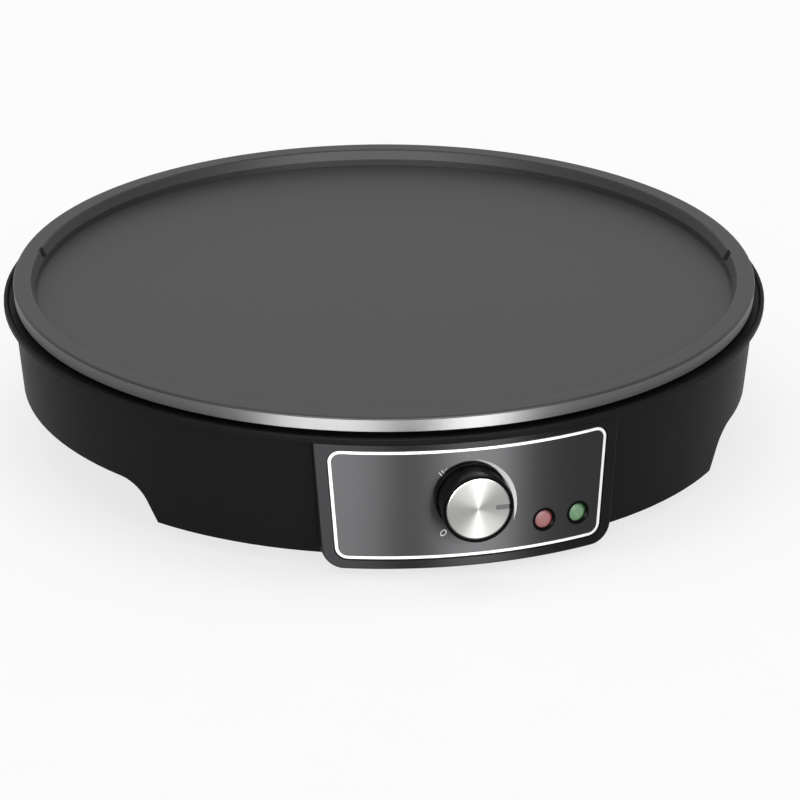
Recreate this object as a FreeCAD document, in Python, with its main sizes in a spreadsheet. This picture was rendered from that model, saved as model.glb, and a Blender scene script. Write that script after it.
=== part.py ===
"""Electric crepe maker: a cast round plate on a moulded base, with a heat control on the front.

Lengths are millimetres. +Z is up, the control panel faces -Y, and the origin lies on the floor at the
centre of the whole object's outline. Every piece is drawn about the plate's own upright axis and is
then placed with the same step along Y, because the knob reaches out in front.
"""
import FreeCAD, Part
import math
import os

import Sketcher
from FreeCAD import Placement, Rotation, Vector

os.makedirs("parts", exist_ok=True)
doc = FreeCAD.newDocument("crepe_maker")
sheet = doc.addObject("Spreadsheet::Sheet", "sizes")


class Size:
    """A number that also carries the sheet formula it comes from."""

    def __init__(self, value, formula):
        self.value = float(value)
        self.formula = formula

    def __add__(self, other):
        other = as_size(other)
        return Size(self.value + other.value, f"({self.formula} + {other.formula})")

    def __sub__(self, other):
        other = as_size(other)
        return Size(self.value - other.value, f"({self.formula} - {other.formula})")

    def __mul__(self, other):
        other = as_size(other)
        return Size(self.value * other.value, f"({self.formula} * {other.formula})")

    def __truediv__(self, other):
        other = as_size(other)
        return Size(self.value / other.value, f"({self.formula} / {other.formula})")

    def __neg__(self):
        return Size(-self.value, f"(-1 * {self.formula})")

    def __radd__(self, other):
        return as_size(other) + self

    def __rsub__(self, other):
        return as_size(other) - self

    def __rmul__(self, other):
        return as_size(other) * self


def as_size(number):
    """Lets a plain number stand where a Size is expected."""
    return number if isinstance(number, Size) else Size(number, f"({float(number)!r})")


def size(name, value):
    """Writes one driving dimension in the sheet and returns it."""
    row = len(sheet_names) + 1
    sheet_names.append(name)
    sheet.set(f"A{row}", name)
    sheet.set(f"B{row}", str(value))
    sheet.setAlias(f"B{row}", name)
    return Size(value, f"sizes.{name}")


def sine(degrees):
    """Sine of an angle in degrees that keeps its formula."""
    return Size(math.sin(math.radians(degrees.value)), f"sin({degrees.formula})")


def cosine(degrees):
    """Cosine of an angle in degrees that keeps its formula."""
    return Size(math.cos(math.radians(degrees.value)), f"cos({degrees.formula})")


sheet_names = []

# Moulded base: heights from the floor up, then radii
base_gap = size("base_gap", 6.2)
base_rise = size("base_rise", 56.0)
lip_depth = size("lip_depth", 2.8)
lip_land = size("lip_land", 1.4)
ledge_drop = size("ledge_drop", 1.0)
lip_clearance = size("lip_clearance", 4.25)
lip_overhang = size("lip_overhang", 4.15)
skirt_taper = size("skirt_taper", 5.45)
skirt_wall = size("skirt_wall", 2.4)
opening_gap = size("opening_gap", 1.0)
lip_round = size("lip_round", 0.5)

# Side cut-outs of the skirt, where the hands go under the base
cutout_rise = size("cutout_rise", 16.5)
cutout_slant = size("cutout_slant", 6.4)
cutout_inset = size("cutout_inset", 11.05)
cutout_round = size("cutout_round", 12.0)

# Griddle plate
rim_rise = size("rim_rise", 7.8)
rim_radius = size("rim_radius", 162.0)
rim_draft = size("rim_draft", 0.5)
rim_depth = size("rim_depth", 6.4)
rim_land = size("rim_land", 7.7)
rim_round = size("rim_round", 0.9)
slope_run = size("slope_run", 2.0)
slope_drop = size("slope_drop", 4.1)
recess_depth = size("recess_depth", 7.0)
plate_thickness = size("plate_thickness", 5.5)
rim_overhang = size("rim_overhang", 7.5)
notch_length = size("notch_length", 5.6)
notch_width = size("notch_width", 3.2)
notch_depth = size("notch_depth", 4.5)
right_notch_turn = size("right_notch_turn", 86.3)
left_notch_turn = size("left_notch_turn", -113.7)

# Heating element and what holds it under the plate
ring_inset = size("ring_inset", 25.0)
element_bore = size("element_bore", 6.6)
element_gap = size("element_gap", 0.1)
rib_width = size("rib_width", 5.6)
rib_height = size("rib_height", 4.0)
bend_radius = size("bend_radius", 12.0)
pin_spread = size("pin_spread", 13.0)
cold_end = size("cold_end", 60.0)
rib_break = size("rib_break", 35.0)
bead_length = size("bead_length", 5.0)
pin_bore = size("pin_bore", 3.0)
tab_width = size("tab_width", 6.3)
tab_thickness = size("tab_thickness", 0.8)
tab_length = size("tab_length", 8.0)
clip_inset = size("clip_inset", 12.0)
clip_reach = size("clip_reach", 22.0)
clip_width = size("clip_width", 12.0)
clip_thickness = size("clip_thickness", 1.2)
clip_boss = size("clip_boss", 8.0)
clip_tail = size("clip_tail", 5.0)

# Sensing bulb, fuse and earth point under the plate
sleeve_bore = size("sleeve_bore", 6.0)
bulb_half = size("bulb_half", 40.0)
bulb_line = size("bulb_line", 20.0)
bulb_boss_line = size("bulb_boss_line", 10.0)
fuse_half = size("fuse_half", 8.0)
fuse_line = size("fuse_line", 18.0)
fuse_boss_line = size("fuse_boss_line", 8.0)
strap_width = size("strap_width", 10.0)
strap_thickness = size("strap_thickness", 1.0)
earth_side = size("earth_side", 30.0)
earth_line = size("earth_line", 20.0)
earth_reach = size("earth_reach", 18.0)

# Screws: shank radius, head radius and head height of each thread
small_shank = size("small_shank", 1.5)
small_head = size("small_head", 2.8)
small_head_rise = size("small_head_rise", 1.8)
main_shank = size("main_shank", 2.0)
main_head = size("main_head", 3.7)
main_head_rise = size("main_head_rise", 2.0)
thread_gap = size("thread_gap", 0.05)
free_gap = size("free_gap", 0.3)
seat_gap = size("seat_gap", 0.05)
thread_reach = size("thread_reach", 5.0)
drive_width = size("drive_width", 2.0)
drive_depth = size("drive_depth", 1.0)

# Reflector, long screws and floor of the base
post_inset = size("post_inset", 8.7)
post_turn = size("post_turn", 58.6)
post_radius = size("post_radius", 6.0)
boss_height = size("boss_height", 10.7)
plate_screw_reach = size("plate_screw_reach", 8.7)
reflector_clearance = size("reflector_clearance", 9.0)
reflector_sheet = size("reflector_sheet", 0.8)
reflector_rim = size("reflector_rim", 6.0)
window_half = size("window_half", 32.0)
front_window_far = size("front_window_far", 80.0)
front_window_near = size("front_window_near", 26.0)
rear_window_half = size("rear_window_half", 38.0)
rear_window_near = size("rear_window_near", 32.0)
rear_window_far = size("rear_window_far", 62.0)
floor_recess = size("floor_recess", 0.3)
floor_sheet = size("floor_sheet", 2.2)
floor_side_gap = size("floor_side_gap", 0.6)
floor_roof_gap = size("floor_roof_gap", 0.8)
counterbore_depth = size("counterbore_depth", 4.0)
vent_width = size("vent_width", 3.0)
vent_half = size("vent_half", 25.0)
vent_pitch = size("vent_pitch", 12.0)
vent_count = 9

# Feet and the screws that join the floor to the skirt
foot_inset = size("foot_inset", 28.65)
foot_turn = size("foot_turn", 30.0)
foot_radius = size("foot_radius", 8.0)
foot_round = size("foot_round", 1.0)
foot_neck = size("foot_neck", 3.0)
foot_head = size("foot_head", 5.0)
foot_head_rise = size("foot_head_rise", 2.0)
stem_inset = size("stem_inset", 6.05)
stem_turn = size("stem_turn", 30.0)
stem_radius = size("stem_radius", 4.5)
stem_height = size("stem_height", 26.0)
stem_screw_reach = size("stem_screw_reach", 13.0)

# Control bezel, fascia and trim line
bezel_set_back = size("bezel_set_back", 0.75)
bezel_drop = size("bezel_drop", 3.0)
bezel_top_gap = size("bezel_top_gap", 0.3)
bezel_foot_half = size("bezel_foot_half", 61.2)
bezel_flare = size("bezel_flare", 4.1)
bezel_corner = size("bezel_corner", 9.0)
bezel_round = size("bezel_round", 0.8)
bezel_wall = size("bezel_wall", 2.4)
bezel_seat_gap = size("bezel_seat_gap", 0.1)
side_border = size("side_border", 5.3)
top_border = size("top_border", 2.9)
foot_border = size("foot_border", 4.6)
trim_groove = size("trim_groove", 0.6)
trim_width = size("trim_width", 1.2)
trim_corner = size("trim_corner", 5.0)
trim_proud = size("trim_proud", 0.15)
panel_sink = size("panel_sink", 0.5)
panel_sheet = size("panel_sheet", 1.95)
hollow_inset = size("hollow_inset", 5.0)
hollow_low = size("hollow_low", 11.0)
hollow_high = size("hollow_high", 53.0)
bezel_screw_inset = size("bezel_screw_inset", 3.7)
bezel_screw_low = size("bezel_screw_low", 16.0)
bezel_screw_high = size("bezel_screw_high", 48.5)
bezel_screw_depth = size("bezel_screw_depth", 29.5)
bezel_screw_reach = size("bezel_screw_reach", 14.0)
bezel_boss = size("bezel_boss", 4.2)

# Heat control
knob_side = size("knob_side", -1.7)
knob_height = size("knob_height", 35.4)
knob_gap = size("knob_gap", 0.6)
knob_depth = size("knob_depth", 15.0)
knob_base_radius = size("knob_base_radius", 15.3)
knob_base_depth = size("knob_base_depth", 2.4)
knob_waist_radius = size("knob_waist_radius", 14.4)
knob_collar_depth = size("knob_collar_depth", 4.0)
knob_rim_radius = size("knob_rim_radius", 15.0)
knob_round = size("knob_round", 0.4)
knob_shell = size("knob_shell", 2.0)
knob_roof = size("knob_roof", 3.0)
hub_radius = size("hub_radius", 5.0)
cap_radius = size("cap_radius", 13.6)
cap_sheet = size("cap_sheet", 1.0)
cap_sink = size("cap_sink", 0.2)
cap_bevel = size("cap_bevel", 0.6)
cap_bevel_drop = size("cap_bevel_drop", 0.3)
pointer_start = size("pointer_start", 7.4)
pointer_length = size("pointer_length", 5.6)
pointer_width = size("pointer_width", 2.0)
pointer_round = size("pointer_round", 0.8)
pointer_proud = size("pointer_proud", 0.1)
spindle_radius = size("spindle_radius", 3.0)
spindle_flat = size("spindle_flat", 1.5)
spindle_end_gap = size("spindle_end_gap", 0.5)
running_gap = size("running_gap", 0.05)
leaf_sheet = size("leaf_sheet", 0.4)
leaf_width = size("leaf_width", 3.0)
leaf_length = size("leaf_length", 8.0)
bushing_wall = size("bushing_wall", 1.5)
bushing_reach = size("bushing_reach", 6.0)
frame_sheet = size("frame_sheet", 1.2)
frame_set_back = size("frame_set_back", 14.3)
frame_half = size("frame_half", 23.0)
thermostat_half = size("thermostat_half", 22.0)
thermostat_rise = size("thermostat_rise", 35.0)
thermostat_depth = size("thermostat_depth", 21.0)
spindle_inner = size("spindle_inner", 9.0)
control_screw_side = size("control_screw_side", 14.0)
control_screw_depth = size("control_screw_depth", 5.9)
control_screw_reach = size("control_screw_reach", 12.0)
terminal_side = size("terminal_side", 12.0)
terminal_drop = size("terminal_drop", 6.5)
tube_radius = size("tube_radius", 0.9)
lead_radius = size("lead_radius", 1.0)
lamp_lead_radius = size("lamp_lead_radius", 0.8)

# Pilot lamps
lamp_height = size("lamp_height", 19.5)
red_turn = size("red_turn", 10.85)
green_turn = size("green_turn", 16.4)
lens_radius = size("lens_radius", 3.9)
lens_sink = size("lens_sink", 0.6)
lens_crown = size("lens_crown", 0.8)
lens_length = size("lens_length", 5.8)
ring_wall = size("ring_wall", 1.25)
ring_proud = size("ring_proud", 0.3)
ring_flange = size("ring_flange", 6.0)
ring_flange_depth = size("ring_flange_depth", 1.0)
ring_bevel = size("ring_bevel", 0.6)
holder_radius = size("holder_radius", 4.5)
holder_length = size("holder_length", 12.4)
neon_radius = size("neon_radius", 2.5)
neon_length = size("neon_length", 10.6)
resistor_radius = size("resistor_radius", 1.5)
resistor_length = size("resistor_length", 9.0)

# Cord inlet and terminal block
inlet_height = size("inlet_height", 20.0)
inlet_proud = size("inlet_proud", 3.3)
inlet_boss_depth = size("inlet_boss_depth", 5.2)
inlet_boss = size("inlet_boss", 11.0)
grommet_neck = size("grommet_neck", 6.0)
grommet_flange = size("grommet_flange", 9.0)
grommet_flange_depth = size("grommet_flange_depth", 2.5)
grommet_tail = size("grommet_tail", 7.5)
grommet_tail_depth = size("grommet_tail_depth", 1.5)
grommet_bore = size("grommet_bore", 3.75)
clamp_distance = size("clamp_distance", 19.2)
clamp_side = size("clamp_side", 10.0)
clamp_pillar = size("clamp_pillar", 3.5)
clamp_half = size("clamp_half", 14.0)
clamp_width = size("clamp_width", 9.0)
clamp_sheet = size("clamp_sheet", 2.0)
clamp_screw_reach = size("clamp_screw_reach", 8.0)
saddle_half = size("saddle_half", 5.0)
saddle_width = size("saddle_width", 4.0)
block_half = size("block_half", 16.0)
block_clearance = size("block_clearance", 12.0)
block_depth = size("block_depth", 18.0)
block_rise = size("block_rise", 14.0)
pole_pitch = size("pole_pitch", 10.0)
pole_rise = size("pole_rise", 7.3)
pole_bore = size("pole_bore", 1.5)
pole_screw_inset = size("pole_screw_inset", 4.5)
pole_screw_radius = size("pole_screw_radius", 2.0)
pole_screw_depth = size("pole_screw_depth", 4.0)

# Radii that follow from the plate's rim, from the outside inwards
lip_radius = rim_radius + lip_clearance
skirt_top_radius = lip_radius - lip_overhang
skirt_foot_radius = skirt_top_radius - skirt_taper
spigot_radius = rim_radius - rim_overhang
bezel_radius = lip_radius - bezel_set_back
bezel_screw_seat = bezel_radius - bezel_screw_depth
frame_front = bezel_radius - frame_set_back
frame_back = frame_front - frame_sheet
thermostat_back = frame_back - thermostat_depth
control_screw_seat = bezel_radius - control_screw_depth
reflector_radius = thermostat_back - reflector_clearance
ring_radius = reflector_radius - ring_inset
clip_radius = ring_radius - clip_inset
post_side = (reflector_radius - post_inset) * sine(post_turn)
post_line = (reflector_radius - post_inset) * cosine(post_turn)
stem_side = (skirt_foot_radius - stem_inset) * sine(stem_turn)
stem_line = (skirt_foot_radius - stem_inset) * cosine(stem_turn)
foot_side = (skirt_foot_radius - foot_inset) * sine(foot_turn)
foot_line = (skirt_foot_radius - foot_inset) * cosine(foot_turn)
cutout_foot_half = foot_line - cutout_inset
cutout_top_half = cutout_foot_half - cutout_slant
inlet_seat = skirt_foot_radius + inlet_proud
clamp_line = inlet_seat - clamp_distance
block_near = clamp_line - block_clearance - block_depth
bezel_top_half = bezel_foot_half + bezel_flare
bezel_screw_side = bezel_foot_half - bezel_screw_inset
hollow_half = bezel_screw_side - hollow_inset
terminal_height = knob_height - terminal_drop

# Levels that follow from the sizes above
lip_top = base_gap + base_rise
lip_bottom = lip_top - lip_depth
ledge_top = lip_top - ledge_drop
ledge_bottom = ledge_top - skirt_wall
rim_top = lip_top + rim_rise
rim_bottom = rim_top - rim_depth
cook_level = rim_top - recess_depth
plate_under = cook_level - plate_thickness
element_radius = element_bore / 2
element_level = plate_under - element_gap - element_radius
clip_level = element_level - element_radius - seat_gap
sleeve_radius = sleeve_bore / 2
sleeve_level = plate_under - seat_gap - sleeve_radius
strap_level = sleeve_level - sleeve_radius - seat_gap
reflector_top = plate_under - boss_height
reflector_bottom = reflector_top - reflector_sheet
cutout_top = base_gap + cutout_rise
floor_low = base_gap + floor_recess
floor_low_top = floor_low + floor_sheet
floor_high = cutout_top + floor_roof_gap
floor_high_top = floor_high + floor_sheet
screw_seat = floor_high + counterbore_depth
bezel_bottom = base_gap - bezel_drop
bezel_top = lip_bottom - bezel_top_gap
trim_top = bezel_top - top_border
trim_bottom = bezel_bottom + foot_border
panel_radius = bezel_radius - panel_sink
panel_back = panel_radius - panel_sheet
recess_floor = panel_back - seat_gap
bezel_back = recess_floor - bezel_wall
knob_rear = panel_radius + knob_gap
knob_front = knob_rear + knob_depth
knob_collar = knob_front - knob_collar_depth
spindle_end = knob_front - knob_roof - spindle_end_gap
lens_front = panel_radius - lens_sink
lens_back = lens_front - lens_length
ring_front = panel_radius + ring_proud
ring_back = bezel_back - 3 * seat_gap - ring_flange_depth
holder_front = lens_back - seat_gap
holder_back = holder_front - holder_length
resistor_back = holder_back - seat_gap - resistor_length
inlet_inner = inlet_seat - inlet_boss_depth
block_top = floor_low_top + block_rise
pole_level = floor_low_top + pole_rise
clamp_seat = inlet_height + grommet_bore - seat_gap
saddle_top = inlet_height - grommet_bore
slope_top_radius = rim_radius - rim_land
recess_radius = slope_top_radius - slope_run
opening_radius = spigot_radius + opening_gap
groove_half = element_radius + element_gap
axis_step = (knob_front - lip_radius) / 2


def skirt_radius(level):
    """Outer radius of the tapered skirt at a height above the floor."""
    taper = (skirt_top_radius - skirt_foot_radius) / (lip_bottom - base_gap)
    return skirt_foot_radius + (level - base_gap) * taper


def bezel_half(level):
    """Half the width of the bezel at a height above the floor."""
    taper = (bezel_top_half - bezel_foot_half) / (bezel_top - bezel_bottom)
    return bezel_foot_half + (level - bezel_bottom) * taper


def bind(item, path, number):
    """Ties a property to the sheet; a plain number is left as it was set."""
    if "sizes." in number.formula:
        item.setExpression(path, number.formula)


def add_body(label):
    """Starts one piece."""
    body = doc.addObject("PartDesign::Body", label)
    body.Label = label
    body.AllowCompound = True
    return body


def place(item, lift=0, turn=0, side=0):
    """Steps a piece along Y with all the others, lifts it, and turns it about the plate's axis."""
    lift = as_size(lift)
    turn = as_size(turn)
    side = as_size(side)
    turned = Rotation(Vector(0, 0, 1), turn.value)
    item.Placement = Placement(Vector(side.value, axis_step.value, lift.value), turned)
    bind(item, "Placement.Base.x", side)
    bind(item, "Placement.Base.y", axis_step)
    bind(item, "Placement.Base.z", lift)
    bind(item, "Placement.Rotation.Angle", turn)
    pieces.append(item)
    return item


def add_sketch(body, role, offset=0, turn=0):
    """Lays a sketch on one of the body's planes, stepped along the plane's normal."""
    offset = as_size(offset)
    turn = as_size(turn)
    sketch = body.newObject("Sketcher::SketchObject", f"{body.Name}_outline")
    support = [plane for plane in body.Origin.OriginFeatures if plane.Role == role]
    sketch.AttachmentSupport = [(support[0], "")]
    sketch.MapMode = "FlatFace"
    turned = Rotation(Vector(0, 1, 0), turn.value)
    sketch.AttachmentOffset = Placement(Vector(0, 0, offset.value), turned)
    bind(sketch, "AttachmentOffset.Base.z", offset)
    bind(sketch, "AttachmentOffset.Rotation.Angle", turn)
    return sketch


def hold(sketch, constraint, number):
    """Adds a dimension to a sketch and ties it to the sheet."""
    index = sketch.addConstraint(constraint)
    name = f"held_{index}"
    sketch.renameConstraint(index, name)
    bind(sketch, f"Constraints.{name}", number)


def pin(sketch, shape, end, across, up):
    """Holds one point of a sketch at its place from the sketch's origin."""
    for kind, axis, number in (("DistanceX", -2, as_size(across)), ("DistanceY", -1, as_size(up))):
        if number.value == 0.0:
            sketch.addConstraint(Sketcher.Constraint("PointOnObject", shape, end, axis))
        else:
            hold(sketch, Sketcher.Constraint(kind, -1, 1, shape, end, number.value), number)


def polygon(sketch, points):
    """Draws a closed outline of straight lines with every corner held."""
    corners = [(as_size(across), as_size(up)) for across, up in points]
    flat = [Vector(across.value, up.value, 0) for across, up in corners]
    first = sketch.GeometryCount
    for here, there in zip(flat, flat[1:] + flat[:1]):
        sketch.addGeometry(Part.LineSegment(here, there), False)
    count = len(flat)
    for step in range(count):
        following = first + (step + 1) % count
        sketch.addConstraint(Sketcher.Constraint("Coincident", first + step, 2, following, 1))
        pin(sketch, first + step, 1, *corners[step])


def rectangle(sketch, left, right, low, high):
    """Draws an upright rectangle."""
    polygon(sketch, [(left, low), (right, low), (right, high), (left, high)])


def circle(sketch, across, up, radius):
    """Draws a circle with its centre and radius held."""
    across, up, radius = as_size(across), as_size(up), as_size(radius)
    round_line = Part.Circle(Vector(across.value, up.value, 0), Vector(0, 0, 1), radius.value)
    shape = sketch.addGeometry(round_line, False)
    pin(sketch, shape, 3, across, up)
    hold(sketch, Sketcher.Constraint("Radius", shape, radius.value), radius)


def flatted_circle(sketch, radius, flat):
    """Draws a circle about the origin with one flat, as on a shaft that must not slip."""
    radius, flat = as_size(radius), as_size(flat)
    side = math.sqrt(radius.value ** 2 - flat.value ** 2)
    start = math.atan2(flat.value, -side)
    stop = math.atan2(flat.value, side) + 2 * math.pi
    whole = Part.Circle(Vector(0, 0, 0), Vector(0, 0, 1), radius.value)
    arc = sketch.addGeometry(Part.ArcOfCircle(whole, start, stop), False)
    ends = Vector(side, flat.value, 0), Vector(-side, flat.value, 0)
    line = sketch.addGeometry(Part.LineSegment(*ends), False)
    sketch.addConstraint(Sketcher.Constraint("Coincident", arc, 2, line, 1))
    sketch.addConstraint(Sketcher.Constraint("Coincident", line, 2, arc, 1))
    sketch.addConstraint(Sketcher.Constraint("Coincident", arc, 3, -1, 1))
    sketch.addConstraint(Sketcher.Constraint("Horizontal", line))
    hold(sketch, Sketcher.Constraint("Radius", arc, radius.value), radius)
    hold(sketch, Sketcher.Constraint("DistanceY", -1, 1, line, 1, flat.value), flat)


def pad(body, sketch, length, back=False, both=False):
    """Raises a solid from a sketch."""
    length = as_size(length)
    feature = body.newObject("PartDesign::Pad", f"{body.Name}_pad")
    feature.Profile = sketch
    feature.Length = length.value
    feature.Reversed = back
    feature.Midplane = both
    bind(feature, "Length", length)
    return feature


def pocket(body, sketch, length, back=False, both=False):
    """Cuts a sketch into the solid, against the sketch's normal, or along it when back is set."""
    length = as_size(length)
    feature = body.newObject("PartDesign::Pocket", f"{body.Name}_pocket")
    feature.Profile = sketch
    feature.Length = length.value
    feature.Reversed = back
    feature.Midplane = both
    bind(feature, "Length", length)
    cuts.append(feature)
    return feature


def turn_solid(body, sketch):
    """Turns a sketch about its upright axis into a solid."""
    feature = body.newObject("PartDesign::Revolution", f"{body.Name}_turned")
    feature.Profile = sketch
    feature.ReferenceAxis = (sketch, ["V_Axis"])
    feature.Angle = 360
    return feature


def turn_away(body, sketch):
    """Turns a sketch about its upright axis and removes that ring."""
    feature = body.newObject("PartDesign::Groove", f"{body.Name}_groove")
    feature.Profile = sketch
    feature.ReferenceAxis = (sketch, ["V_Axis"])
    feature.Angle = 360
    cuts.append(feature)
    return feature


def repeat_round(body, feature, count):
    """Repeats a feature evenly about the upright axis."""
    pattern = body.newObject("PartDesign::PolarPattern", f"{body.Name}_pattern")
    pattern.Originals = [feature]
    axis = [line for line in body.Origin.OriginFeatures if line.Role == "Z_Axis"]
    pattern.Axis = (axis[0], [""])
    pattern.Angle = 360
    pattern.Occurrences = count
    body.Tip = pattern
    return pattern


def edges_where(body, test):
    """Names the edges of the finished body whose sampled points all pass a test."""
    doc.recompute()
    names = []
    for index, edge in enumerate(body.Shape.Edges, start=1):
        if edge.Length > 0 and all(test(point) for point in edge.discretize(5)):
            names.append(f"Edge{index}")
    return names


def round_edges(body, radius, test):
    """Rounds the chosen edges of a body."""
    names = edges_where(body, test)
    if not names:
        raise RuntimeError(f"no edge to round on {body.Label}")
    base = body.Tip
    feature = body.newObject("PartDesign::Fillet", f"{body.Name}_round")
    feature.Base = (base, names)
    feature.Radius = radius.value
    bind(feature, "Radius", radius)
    return feature


def near(one, other):
    """True where two lengths agree."""
    return abs(one - other) < 0.01


def on_circle(radius, level):
    """Test for edges that run round the upright axis at a radius and a height."""
    return lambda point: near(math.hypot(point.x, point.y), radius.value) and near(point.z, level.value)


def corners(side, line):
    """The four places at plus and minus two distances."""
    return [(side, line), (-side, line), (-side, -line), (side, -line)]


def stack(label, places, layers):
    """Makes upright stepped cylinders: each layer is a radius, a low level and a high level."""
    body = add_body(label)
    for radius, low, high in layers:
        sketch = add_sketch(body, "XY_Plane", low)
        for across, along in places:
            circle(sketch, across, along, radius)
        pad(body, sketch, high - low)
    return body


def drive_slots(body, places, level, up):
    """Cuts a straight driver slot in each screw head, from its outer face inwards."""
    sketch = add_sketch(body, "XY_Plane", level)
    for across, along in places:
        half = drive_width
        rectangle(sketch, across - half, across + half, along - half / 4, along + half / 4)
    pocket(body, sketch, drive_depth, back=not up)


pieces = []
cuts = []


def griddle_plate():
    """Cast plate: sunk cooking surface, raised rim, and ribs and bosses underneath."""
    body = add_body("griddle_plate")
    rib_bottom = plate_under - rib_height
    outer_rib = ring_radius + groove_half
    inner_rib = ring_radius - groove_half
    profile = add_sketch(body, "XZ_Plane")
    polygon(profile, [
        (0, cook_level),
        (recess_radius, cook_level),
        (recess_radius, rim_top - slope_drop),
        (slope_top_radius, rim_top),
        (rim_radius, rim_top),
        (rim_radius - rim_draft, rim_bottom),
        (spigot_radius, rim_bottom),
        (spigot_radius, plate_under),
        (outer_rib + rib_width, plate_under),
        (outer_rib + rib_width, rib_bottom),
        (outer_rib, rib_bottom),
        (outer_rib, plate_under),
        (inner_rib, plate_under),
        (inner_rib, rib_bottom),
        (inner_rib - rib_width, rib_bottom),
        (inner_rib - rib_width, plate_under),
        (0, plate_under),
    ])
    turn_solid(body, profile)
    round_edges(body, rim_round, on_circle(rim_radius, rim_top))
    round_edges(body, rim_round, on_circle(slope_top_radius, rim_top))

    # Break in the inner rib, where the element's cold ends turn inwards
    gap = add_sketch(body, "XY_Plane", rib_bottom)
    rectangle(gap, -rib_break, rib_break, -inner_rib, rib_width + rib_width - inner_rib + 4)
    pocket(body, gap, rib_height, back=True)

    posts = add_sketch(body, "XY_Plane", reflector_top)
    for side, line in corners(post_side, post_line):
        circle(posts, side, line, post_radius)
    pad(body, posts, boss_height + 1)
    threads = add_sketch(body, "XY_Plane", reflector_top)
    for side, line in corners(post_side, post_line):
        circle(threads, side, line, main_shank + thread_gap)
    pocket(body, threads, plate_screw_reach + 1, back=True)

    clip_post = add_sketch(body, "XY_Plane", clip_level)
    circle(clip_post, 0, clip_radius, clip_boss / 2)
    repeat_round(body, pad(body, clip_post, plate_under - clip_level + 1), 3)
    clip_thread = add_sketch(body, "XY_Plane", clip_level)
    circle(clip_thread, 0, clip_radius, small_shank + thread_gap)
    repeat_round(body, pocket(body, clip_thread, thread_reach + 1, back=True), 3)

    strap_posts = add_sketch(body, "XY_Plane", strap_level)
    for across, along in strap_places:
        circle(strap_posts, across, along, clip_boss / 2)
    pad(body, strap_posts, plate_under - strap_level + 1)
    strap_threads = add_sketch(body, "XY_Plane", strap_level)
    for across, along in strap_places:
        circle(strap_threads, across, along, small_shank + thread_gap)
    pocket(body, strap_threads, thread_reach + 1, back=True)

    # Two notches in the inner slope
    notches = add_sketch(body, "XY_Plane", rim_top)
    half_long = notch_length / 2
    middle = slope_top_radius - slope_run / 2
    for turn in (right_notch_turn, left_notch_turn):
        points = []
        for out, along in ((-1, -1), (1, -1), (1, 1), (-1, 1)):
            radial = middle + out * notch_width / 2
            along = along * half_long
            across = radial * sine(turn) + along * cosine(turn)
            up = along * sine(turn) - radial * cosine(turn)
            points.append((across, up))
        polygon(notches, points)
    pocket(body, notches, notch_depth)
    return place(body)


strap_places = [(0, -bulb_boss_line), (0, fuse_boss_line), (-earth_side, earth_line)]


def base_housing():
    """Moulded base: ledge and lip round the plate, tapered skirt, and two side cut-outs."""
    arch = add_body("arch_form")
    outline = add_sketch(arch, "YZ_Plane")
    polygon(outline, [
        (-cutout_foot_half, base_gap - 1),
        (cutout_foot_half, base_gap - 1),
        (cutout_foot_half, base_gap),
        (cutout_top_half, cutout_top),
        (-cutout_top_half, cutout_top),
        (-cutout_foot_half, base_gap),
    ])
    pad(arch, outline, 2 * lip_radius, both=True)
    round_edges(arch, cutout_round, on_line(cutout_top_half, cutout_top))

    body = add_body("base_housing")
    inner_foot = skirt_foot_radius - skirt_wall
    inner_top = skirt_radius(ledge_bottom) - skirt_wall
    profile = add_sketch(body, "XZ_Plane")
    polygon(profile, [
        (opening_radius, ledge_top),
        (lip_radius - lip_land - ledge_drop, ledge_top),
        (lip_radius - lip_land, lip_top),
        (lip_radius, lip_top),
        (lip_radius, lip_bottom),
        (skirt_top_radius, lip_bottom),
        (skirt_foot_radius, base_gap),
        (inner_foot, base_gap),
        (inner_top, ledge_bottom),
        (opening_radius, ledge_bottom),
    ])
    turn_solid(body, profile)
    round_edges(body, lip_round, on_circle(lip_radius, lip_top))
    round_edges(body, lip_round, on_circle(lip_radius, lip_bottom))

    stems = add_sketch(body, "XY_Plane", floor_low_top)
    for side, line in corners(stem_side, stem_line):
        circle(stems, side, line, stem_radius)
    pad(body, stems, stem_height)
    bosses = add_sketch(body, "XZ_Plane", bezel_screw_seat)
    for across, up in bezel_screw_places:
        circle(bosses, across, up, bezel_boss)
    pad(body, bosses, skirt_foot_radius - bezel_screw_seat)

    # What the stems and bosses push through the skirt is trimmed back to its outer face
    outside = add_sketch(body, "XZ_Plane")
    polygon(outside, [
        (skirt_foot_radius, base_gap),
        (lip_radius + skirt_wall, base_gap),
        (lip_radius + skirt_wall, lip_bottom),
        (skirt_top_radius, lip_bottom),
    ])
    turn_away(body, outside)

    cut_by(body, arch)
    window = add_sketch(body, "XZ_Plane", bezel_screw_seat)
    rectangle(window, -hollow_half, hollow_half, hollow_low, hollow_high)
    pocket(body, window, lip_radius - bezel_screw_seat, back=True)
    threads = add_sketch(body, "XZ_Plane", bezel_screw_seat)
    for across, up in bezel_screw_places:
        circle(threads, across, up, small_shank + free_gap)
    pocket(body, threads, lip_radius - bezel_screw_seat, back=True)
    stem_threads = add_sketch(body, "XY_Plane", floor_low_top)
    for side, line in corners(stem_side, stem_line):
        circle(stem_threads, side, line, small_shank + thread_gap)
    pocket(body, stem_threads, stem_screw_reach + 1, back=True)

    # Flat seat and hole for the cord's grommet in the rear of the skirt
    seat = add_sketch(body, "XZ_Plane", -inlet_inner)
    circle(seat, 0, inlet_height, inlet_boss)
    pad(body, seat, inlet_boss_depth, back=True)
    hole = add_sketch(body, "XZ_Plane", -inlet_inner + inlet_boss_depth)
    circle(hole, 0, inlet_height, grommet_neck + thread_gap)
    pocket(body, hole, 3 * inlet_boss_depth, back=False)
    return place(body)


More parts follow.
